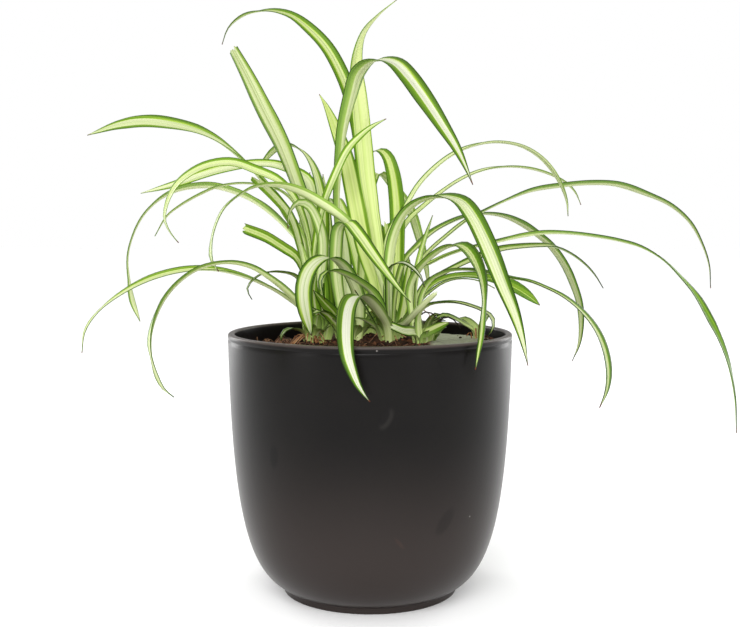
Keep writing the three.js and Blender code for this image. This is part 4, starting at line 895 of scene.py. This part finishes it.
def placed(point):  # carries a point of the front view back to its depth along the line of sight
    across, height, deep = point
    reach = (leafSet["eyeDistance"] + deep) / leafSet["eyeDistance"]
    return Vector((across * reach, deep, leafSet["eyeHeight"] + (height - leafSet["eyeHeight"]) * reach))


def seenFromFront(point):  # the front view's across, up and deep of a point
    reach = (leafSet["eyeDistance"] + point.y) / leafSet["eyeDistance"]
    return (point.x / reach, leafSet["eyeHeight"] + (point.z - leafSet["eyeHeight"]) / reach, point.y)


def curveThrough(points, perSpan=16):  # centripetal curve through the points
    padded = [points[0] * 2 - points[1], *points, points[-1] * 2 - points[-2]]
    line = []
    for p0, p1, p2, p3 in zip(padded, padded[1:], padded[2:], padded[3:]):
        d0, d1, d2 = [math.sqrt((b - a).length) for a, b in ((p0, p1), (p1, p2), (p2, p3))]
        leave = ((p1 - p0) / d0 - (p2 - p0) / (d0 + d1) + (p2 - p1) / d1) * d1
        arrive = ((p2 - p1) / d1 - (p3 - p1) / (d1 + d2) + (p3 - p2) / d2) * d1
        for k in range(perSpan):
            t = k / perSpan
            line.append(p1 + leave * t + ((p2 - p1) * 3 - leave * 2 - arrive) * t ** 2
                        + ((p1 - p2) * 2 + leave + arrive) * t ** 3)
    return line + [points[-1]]


def measured(line):  # returns the length and a function that gives place and direction at a share of it
    lengths = [0.0]
    for a, b in zip(line, line[1:]):
        lengths.append(lengths[-1] + (b - a).length)

    def spot(share):
        goal = min(max(share, 0.0), 1.0) * lengths[-1]
        i = next((k for k in range(1, len(lengths)) if lengths[k] >= goal), len(lengths) - 1)
        part = (goal - lengths[i - 1]) / (lengths[i] - lengths[i - 1])
        return line[i - 1].lerp(line[i], part)

    def at(share):
        ahead = spot(min(share + 0.004, 1)) - spot(max(share - 0.004, 0))
        return spot(share), ahead.normalized()
    return lengths[-1], at


def spreadValue(values, t):
    i = min(int(t * (len(values) - 1)), len(values) - 2)
    return values[i] + (values[i + 1] - values[i]) * (t * (len(values) - 1) - i)


def factorAt(pairs, t):  # reads (share, factor) pairs, starting from a factor of 1 at the root
    before = (0.0, 1.0)
    for share, factor in pairs:
        if t <= share:
            return before[1] + (factor - before[1]) * (t - before[0]) / (share - before[0])
        before = (share, factor)
    return before[1]


def fullness(t, power):
    s = leafSet
    swell = s["rootShare"] + (1 - s["rootShare"]) * smoothStep(0, s["widestFrom"], t)
    past = (t - s["taperFrom"]) / (1 - s["taperFrom"])
    return swell * (1 if past < 0 else 1 - past ** power)


def leafLayers(bm):
    return [bm.verts.layers.float_vector.new(name) for name in leafReadings]


# Bends a flat grid along the leaf's course, folds it to a channel and gives it two faces
def growLeaf(bm, layers, leaf, spot, rootDepth, draw):
    s = leafSet
    placeLayer, shareLayer, lookLayer, ageLayer, trimLayer = layers
    x, y = spot
    points = [placed(p) for p in leaf["course"]]
    away = Vector((points[0].x - x, points[0].y - y, 0))
    if away.length > s["rootSpread"]:
        away *= s["rootSpread"] / away.length
    root = Vector((x, y, compostSet["level"] - rootDepth)) + away
    length, at = measured(curveThrough([root, *points]))
    far = points[-1]
    azimuth = math.radians(leaf["heading"]) if "heading" in leaf else math.atan2(far.y - y, far.x - x)
    level = Vector((-math.sin(azimuth), math.cos(azimuth), 0))
    look = {**usualLook, **leaf}
    tone = look["tone"] + draw.uniform(-s["toneSpread"], s["toneSpread"])
    stripe = look["stripe"] + draw.uniform(-s["stripeSpread"], s["stripeSpread"])
    seed = draw.uniform(0, s["waveSeeds"])
    shift = draw.uniform(-s["shiftSpread"], s["shiftSpread"])
    cut = leaf.get("cut", 1)
    dry = look["dry"] if cut == 1 else 0  # a broken leaf has lost its dry tip
    own = Vector((tone, stripe, look["cream"]))
    age = Vector((dry, min(1, s["paleBase"] / length), look.get("shift", shift)))
    trim = Vector((look["rim"], look["greening"], 0))
    steps = max(s["fewestSteps"], round(length / s["alongStep"]))
    rows = []
    for i in range(steps + 1):
        t = i / steps
        middle, ahead = at(t)
        side = (level - ahead * level.dot(ahead)).normalized()
        turn = math.radians(spreadValue(leaf["roll"], t))
        side = side * math.cos(turn) + ahead.cross(side) * math.sin(turn)
        full = fullness(t * cut, leaf.get("taper", s["taperPower"])) * factorAt(leaf.get("widths", []), t)
        half = max(s["tipWidth"], leaf["width"] * full) / 2
        fold = math.radians(s["foldAtRoot"] + (s["foldAtTip"] - s["foldAtRoot"]) * t)
        rows.append((middle, side, ahead.cross(side), half, fold))
    grid = bmesh.ops.create_grid(bm, x_segments=s["acrossSteps"], y_segments=steps, size=1)["verts"]
    soft = s["channelSoftness"]
    for v in grid:
        across, i = v.co.x, round((v.co.y + 1) / 2 * steps)
        middle, side, face, half, fold = rows[i]
        channel = (math.hypot(across, soft) - soft) / (math.hypot(1, soft) - soft)
        ripple = noise.noise(Vector((across * 2, length * i / steps / s["waveLength"], seed)))
        wave = s["wave"] * across ** 2 * ripple
        v.co = middle + side * (across * half * math.cos(fold)) \
            + face * ((channel - 0.5) * half * math.sin(fold) + wave * half)
        if i == steps and cut < s["tornFrom"]:
            v.co += side.cross(face) * -s["tear"] * noise.noise(Vector((across * s["tearGrain"], seed, 1)))
        v[placeLayer] = Vector((across * half, length * i / steps, seed))
        v[shareLayer] = Vector((across, i / steps, 0))
        v[lookLayer] = own
        v[ageLayer] = age
        v[trimLayer] = trim
    faces = {f for v in grid for f in v.link_faces}
    edges = {e for v in grid for e in v.link_edges}
    raised = bmesh.ops.extrude_face_region(bm, geom=[*faces, *edges, *grid], use_keep_orig=True)["geom"]
    upper = [g for g in raised if isinstance(g, bmesh.types.BMVert)]
    for v in upper:
        v[shareLayer] = Vector((v[shareLayer].x, v[shareLayer].y, 1))
    for v in grid + upper:
        share = v[shareLayer]
        row = rows[round(share.y * steps)]
        thick = s["rimThickness"] + (s["thickness"] - s["rimThickness"]) * (1 - share.x ** 4)
        v.co += row[2] * (thick / 2 if share.z > 0.5 else -thick / 2)


def growCrown(bm, layers, spot, crown):
    placeLayer, shareLayer, lookLayer, ageLayer, _ = layers
    radius, low, top, level = crown["radius"], crown["floor"], crown["top"], compostSet["level"]
    before = set(bm.verts)
    profile = [(0, low), (radius * 0.6, low), (radius, low + 6), (radius * 1.02, level - 3),
               (radius, level + 1), (radius * 0.86, level + 4), (radius * 0.55, top - 3),
               (radius * 0.3, top - 0.8), (0, top)]
    spinProfile(bm, profile, crown["steps"], spot)
    for v in (v for v in bm.verts if v not in before):
        a = math.atan2(v.co.y - spot[1], v.co.x - spot[0])
        v[placeLayer] = Vector((a * radius, v.co.z, 3))
        v[shareLayer] = Vector((0.5 * math.sin(4 * a), 0.5, 1))
        v[lookLayer] = Vector((-1.1, 0.1, 0.0))  # painted shade: dark, with next to no stripe
        v[ageLayer] = Vector((0, 1, 0))


leafColours = {
    "leaf": {
        "white": "#dcddcc", "pale": "#c5d18b", "lime": "#aac646", "green": "#6c9424", "deep": "#446812",
        "rim": "#284310",
    },
    "deep_leaf": {
        "white": "#dcddcc", "pale": "#c2cf82", "lime": "#a0bd40", "green": "#5f861f", "deep": "#385a10",
        "rim": "#213a0d",
    },
    "young_leaf": {
        "white": "#c6d19a", "pale": "#94ab58", "lime": "#6f9038", "green": "#40651f", "deep": "#284a13",
        "rim": "#1a3409",
    },
}
underColours = {"white": "#d4dea6", "pale": "#cad88e", "green": "#9bbb58", "deep": "#648b34"}
baseColour = "#cbd98c"
youngBlade = "#b7cb75"
dryColours = ("#2a0f0a", "#7a3a22")
# What each layer of a leaf's points holds
leafReadings = {
    "leafPlace": ("fromMiddle",), "leafShare": ("across", "along", "upper"),
    "leafLook": ("tone", "stripe", "cream"), "leafAge": ("dry", "baseLength", "shift"),
    "leafTrim": ("rimmed", "greening"),
}
# The skin's patterns: sizes across and along the leaf in mm, and detail. Veins are really 0.3 mm apart, which
# is too fine to show, so they are drawn a millimetre apart, and so are a few darker and lighter lines.
leafPatterns = {
    "veins": (0.91, 125, 0.5), "lines": (1.11, 250, 0.5), "bands": (1.67, 250, 1), "drift": (50, 50, 2),
    "specks": (2, 2, 1),
}
# What the skin works out from them, in order: name, operation and values. A word stands for an earlier
# result. A fade goes smoothly between two limits of its source, from one value to another.
leafSums = [
    # how far the pale stripe reaches out: further near the root, less where the leaf greens
    ("outward", "ABSOLUTE", "across"),
    ("rootward", "fade", "along", 0.02, 0.5, 1, 0),
    ("tipward", "fade", "along", 0.5, 0.72, 0, 1),
    ("greened", "MULTIPLY", "greening", "tipward"),
    ("kept", "SUBTRACT", 1, "greened"),
    ("lost", "MULTIPLY_ADD", "kept", 0.3, -0.3),
    ("striped", "MULTIPLY_ADD", "stripe", "kept", "lost"),
    ("drifting", "MULTIPLY_ADD", "drift", 0.24, -0.12),
    ("widened", "MULTIPLY_ADD", "rootward", 0.2, "drifting"),
    ("reach", "ADD", "striped", "widened"),
    # depth is 0 in the stripe and 1 in the margin. The real edge is sharper; it is drawn soft enough to stay
    # smooth on thin leaves.
    ("aside", "SUBTRACT", "across", "shift"),
    ("apart", "ABSOLUTE", "aside"),
    ("ragged", "MULTIPLY_ADD", "bands", 0.4, -0.2),
    ("edge", "ADD", "apart", "ragged"),
    ("beyond", "SUBTRACT", "edge", "reach"),
    ("rising", "DIVIDE", "beyond", 0.17),
    ("atLeastNone", "MAXIMUM", "rising", 0),
    ("depth", "MINIMUM", "atLeastNone", 1),
    ("darker", "fade", "outward", 0.42, 0.88, 0, 1),
    ("margin", "MULTIPLY", "depth", "rimmed"),
    ("towardsRim", "MULTIPLY", "margin", "darker"),
    ("steeper", "MULTIPLY", "depth", 4),
    ("atMostWhole", "MINIMUM", "steeper", 1),
    ("insideStripe", "SUBTRACT", 1, "atMostWhole"),
    ("whiter", "MULTIPLY", "cream", "insideStripe"),
    # darker and lighter lines, the dark edge, and the fresh green near the root. The distance from the edge
    # is in mm. The edge is really a hair's breadth; it is drawn as wide as it needs to be to show.
    ("darkLines", "fade", "lines", 0.6, 0.66, 0, 0.4),
    ("lightLines", "fade", "lines", 0.4, 0.34, 0, 0.3),
    ("offMiddle", "ABSOLUTE", "fromMiddle"),
    ("aboveNone", "MAXIMUM", "outward", 0.05),
    ("halfWidth", "DIVIDE", "offMiddle", "aboveNone"),
    ("inward", "SUBTRACT", 1, "outward"),
    ("fromEdge", "MULTIPLY", "halfWidth", "inward"),
    ("nearEdge", "fade", "fromEdge", 0.62, 0.12, 0, 1),
    ("edged", "MULTIPLY", "nearEdge", "rimmed"),
    ("fresh", "MULTIPLY", "rootward", 0.3),
    # brightness: veins, the leaf's own tone, and painted light along the leaf: brighter near the root
    # against the plant's own shade there, in part the paler real base, and darker towards the tip
    ("veinRise", "SUBTRACT", "veins", 0.5),
    ("veined", "MULTIPLY_ADD", "veinRise", 0.4, 1),
    ("toned", "MULTIPLY_ADD", "tone", 0.42, "veined"),
    ("paintedLightAlong", "fade", "along", 0.05, 0.8, 1.2, 0.86),
    ("bright", "MULTIPLY", "toned", "paintedLightAlong"),
    ("nearBase", "DIVIDE", "along", "baseLength"),
    ("base", "fade", "nearBase", 0.15, 1, 0.7, 0),
    # the browned tip, with a speckled edge
    ("speckRise", "SUBTRACT", "specks", 0.5),
    ("speckled", "MULTIPLY_ADD", "speckRise", 0.02, "along"),
    ("living", "SUBTRACT", 1, "dry"),
    ("past", "SUBTRACT", "speckled", "living"),
    ("tip", "fade", "past", -0.004, 0.008, 0, 1),
    ("anyDry", "GREATER_THAN", "dry", 0.002),
    ("browned", "MULTIPLY", "tip", "anyDry"),
    # the waxy upper face shines more, the dry tip less
    ("satin", "MULTIPLY_ADD", "specks", 0.1, 0.48),
    ("waxy", "MULTIPLY_ADD", "upper", -0.16, "satin"),
    ("rough", "MULTIPLY_ADD", "browned", 0.3, "waxy"),
    ("height", "MULTIPLY_ADD", "specks", 0.25, "veins"),
]


def leafSkin(slotName):
    # living leaf: waxy satin skin over fine lengthwise veins, cream stripe, green margins, paler beneath
    colours = leafColours[slotName]
    material, tree, shader = newMaterial(slotName.replace("_", " ") + " skin", {
        "Specular IOR Level": 0.16, "IOR": 1.42,
    })
    found = {}
    for layer, names in leafReadings.items():
        found[layer] = addNode(tree, "Attribute", {"attribute_name": layer}).outputs["Vector"]
        found.update(zip(names, addNode(tree, "SeparateXYZ", {"Vector": found[layer]}).outputs))
    for name, (width, length, detail) in leafPatterns.items():
        drawn = addNode(tree, "Mapping", {"Vector": found["leafPlace"], "Scale": (1 / width, 1 / length, 1)})
        found[name] = addNode(tree, "TexNoise", {
            "Vector": drawn.outputs["Vector"], "Scale": 1, "Detail": detail,
        }).outputs["Fac"]
    limits = ("Value", "From Min", "From Max", "To Min", "To Max")
    for name, operation, *values in leafSums:
        values = [found.get(value, value) for value in values]
        if operation == "fade":
            node = addNode(tree, "MapRange", {**softRange, **dict(zip(limits, values))})
        else:
            node = addNode(tree, "Math", {"operation": operation, **dict(enumerate(values))})
        found[name] = node.outputs[0]

    top = setStops(addNode(tree, "ValToRGB", {"Fac": found["depth"]}), [
        (0.0, colours["pale"]), (0.35, colours["lime"]), (0.85, colours["green"]),
    ])
    under = setStops(addNode(tree, "ValToRGB", {"Fac": found["depth"]}), [
        (0.0, underColours["white"]), (0.3, underColours["pale"]), (0.9, underColours["green"]),
    ])
    for share, code in (("whiter", colours["white"]), ("towardsRim", colours["deep"])):
        top = addNode(tree, "Mix", {
            "data_type": "RGBA", 0: found[share], 6: top, 7: linearColour(code),
        }).outputs[2]
    under = addNode(tree, "Mix", {
        "data_type": "RGBA", 0: found["towardsRim"], 6: under, 7: linearColour(underColours["deep"]),
    }).outputs[2]
    colour = addNode(tree, "Mix", {"data_type": "RGBA", 0: found["upper"], 6: under, 7: top}).outputs[2]
    for share, code in (("darkLines", colours["green"]), ("lightLines", colours["lime"]),
                        ("edged", colours["rim"]), ("fresh", youngBlade)):
        colour = addNode(tree, "Mix", {
            "data_type": "RGBA", 0: found[share], 6: colour, 7: linearColour(code),
        }).outputs[2]
    colour = addNode(tree, "HueSaturation", {"Color": colour, "Value": found["bright"]}).outputs["Color"]
    colour = addNode(tree, "Mix", {
        "data_type": "RGBA", 0: found["base"], 6: colour, 7: linearColour(baseColour),
    }).outputs[2]
    brown, tan = (linearColour(code) for code in dryColours)
    dried = addNode(tree, "Mix", {"data_type": "RGBA", 0: found["specks"], 6: brown, 7: tan}).outputs[2]
    colour = addNode(tree, "Mix", {"data_type": "RGBA", 0: found["browned"], 6: colour, 7: dried}).outputs[2]
    tree.links.new(colour, shader.inputs["Base Color"])
    tree.links.new(found["rough"], shader.inputs["Roughness"])
    bump = addNode(tree, "Bump", {"Strength": 0.18, "Distance": 0.15 * mm, "Height": found["height"]})
    tree.links.new(bump.outputs["Normal"], shader.inputs["Normal"])
    return material


# Short leaves that fill the heart of each shoot, their dark tones painted shade deep in the plant. Only the
# finished piece has them. Sizes in mm.
heartSet = {
    "lengths": (19, 34), "widths": (5.5, 8.5), "start": 3.2, "level": 131,
    "steps": (0.18, 0.4, 0.62, 0.82, 1.0), "shadeTones": (-0.95, -0.35), "stripes": (-0.05, 0.15), "cream": 0.05,
    "rolls": (-30, 30),
}


def heartLeaves(shoot, spot, draw):
    s = heartSet
    found = []
    count, span, share = shoot["heart"]
    for k in range(count):
        azimuth = math.radians(span[0] + (span[1] - span[0]) * (k + draw.uniform(0.15, 0.85)) / count)
        length, width = share * draw.uniform(*s["lengths"]), draw.uniform(*s["widths"])
        lean, droop, course = draw.uniform(0.25, 0.6), draw.uniform(0.35, 0.9), []
        for step in s["steps"]:
            out = s["start"] + length * lean * step ** 1.25
            up = length * (step * (1.05 - lean * 0.5) - droop * 0.5 * step ** 2.6)
            x, y = spot[0] + out * math.cos(azimuth), spot[1] + out * math.sin(azimuth)
            course.append(seenFromFront(Vector((x, y, s["level"] + up))))
        found.append({"width": width, "course": course, "tone": draw.uniform(*s["shadeTones"]),
                      "stripe": draw.uniform(*s["stripes"]), "cream": s["cream"],
                      "roll": [0, draw.uniform(*s["rolls"])]})
    return found


# Dry brown leaf bases round three crowns: how many, span in degrees, sizes in mm
drySet = {
    "seed": 23, "start": 3.5, "lying": 0.5, "steps": (0.25, 0.6, 1.0),
    "bases": [
        {"node": "shoot_left", "count": 14, "span": (195, 310), "lengths": (5, 11), "widths": (0.8, 2.0),
         "lift": 6},
        {"node": "plantlet", "count": 4, "span": (190, 330), "lengths": (1.2, 3), "widths": (0.7, 1.3),
         "lift": 7},
        {"node": "shoot_right", "count": 4, "span": (200, 340), "lengths": (4, 8), "widths": (0.8, 1.8),
         "lift": 3},
    ],
    "fibres": (0.333, 8.33), "thin": "#c3a277", "mid": "#8f603c", "fibre": "#432416", "dark": "#1d1a10",
}
# Withered threads beside the front shoot, as they look from the front
tendrils = [
    {"width": 0.7, "roll": [0, 60], "tone": 0.5,
     "course": [(24.5, 146, -10), (26.9, 149.6, -11), (29.4, 148.9, -12), (31.6, 147, -12),
        (32.4, 144.5, -12)]},
    {"width": 1.1, "roll": [0, 60], "tone": -0.95,
     "course": [(23.5, 143, -11), (25.8, 146.3, -12), (28.4, 148.1, -13), (31.6, 148.2, -13),
        (34.2, 146.6, -13), (37, 143.2, -13)]},
    {"width": 1.3, "roll": [0, 60], "tone": -0.95,
     "course": [(33, 138, -9), (36, 143, -8), (39.5, 145.6, -7), (43, 145.2, -6), (46, 142.6, -5),
        (48, 139.5, -4)]},
]


def dryPaper():
    # withered leaf: matt papery skin, tan where it is thin and red-brown along its fibres
    s = drySet
    material, tree, shader = newMaterial("withered leaf paper", {
        "Roughness": 0.85, "Specular IOR Level": 0.2,
    })
    place = addNode(tree, "Attribute", {"attribute_name": "leafPlace"}).outputs["Vector"]
    across, along = (1 / size for size in s["fibres"])
    drawn = addNode(tree, "Mapping", {"Vector": place, "Scale": (across, along, 1)}).outputs["Vector"]
    fibres = addNode(tree, "TexNoise", {"Vector": drawn, "Scale": 1, "Detail": 4}).outputs["Fac"]
    ramp = addNode(tree, "ValToRGB", {"Fac": fibres})
    papery = setStops(ramp, [(0.3, s["fibre"]), (0.5, s["mid"]), (0.7, s["thin"])])
    look = addNode(tree, "Attribute", {"attribute_name": "leafLook"}).outputs["Vector"]
    tone = addNode(tree, "SeparateXYZ", {"Vector": look}).outputs["X"]
    dark = addNode(tree, "Math", {"operation": "MULTIPLY", "use_clamp": True, 0: tone, 1: -1}).outputs[0]
    colour = addNode(tree, "Mix", {
        "data_type": "RGBA", 0: dark, 6: papery, 7: linearColour(s["dark"]),
    }).outputs[2]
    tree.links.new(colour, shader.inputs["Base Color"])
    bump = addNode(tree, "Bump", {"Strength": 0.6, "Distance": 0.3 * mm, "Height": fibres})
    tree.links.new(bump.outputs["Normal"], shader.inputs["Normal"])
    return material


def makeDryBases():
    s = drySet
    draw = random.Random(s["seed"])
    bm = bmesh.new()
    layers = leafLayers(bm)
    for base in s["bases"]:
        spot = crownSpots[base["node"]]
        for k in range(base["count"]):
            azimuth = math.radians(draw.uniform(*base["span"]))
            length, lift = draw.uniform(*base["lengths"]), draw.uniform(0.2, 1) * base["lift"]
            course = []
            for step in s["steps"]:
                out = s["start"] + length * step
                x, y = spot[0] + out * math.cos(azimuth), spot[1] + out * math.sin(azimuth)
                rise = lift * math.sin(math.pi * (0.25 + 0.7 * step)) + draw.uniform(0, 1.2)
                course.append(seenFromFront(Vector((x, y, bedHeight(x, y) + s["lying"] + rise))))
            leaf = {"width": draw.uniform(*base["widths"]), "course": course,
                    "roll": [draw.uniform(-50, 50), draw.uniform(-80, 80)]}
            growLeaf(bm, layers, leaf, spot, stoutCrown["rootDepth"], draw)
    for leaf in tendrils:
        growLeaf(bm, layers, leaf, crownSpots["shoot_front"], stoutCrown["rootDepth"], draw)
    bmesh.ops.recalc_face_normals(bm, faces=bm.faces)
    finishPiece(bm, "dryLeafBases", dryPaper())


def makeShoots():
    skins = {name: leafSkin(name) for name in leafColours}
    draw = random.Random(leafSet["seed"])
    for shoot in shoots:
        spot = crownSpots[shoot["node"]]
        crown = smallCrown if shoot["node"] == "plantlet" else stoutCrown
        bm = bmesh.new()
        layers = leafLayers(bm)
        growCrown(bm, layers, spot, crown)
        for leaf in shoot["leaves"] + heartLeaves(shoot, spot, draw):
            growLeaf(bm, layers, leaf, spot, crown["rootDepth"], draw)
        bmesh.ops.recalc_face_normals(bm, faces=bm.faces)
        finishPiece(bm, shoot["piece"], skins[shoot["slot"]], [shoot["node"]])


makeShoots()
makeDryBases()
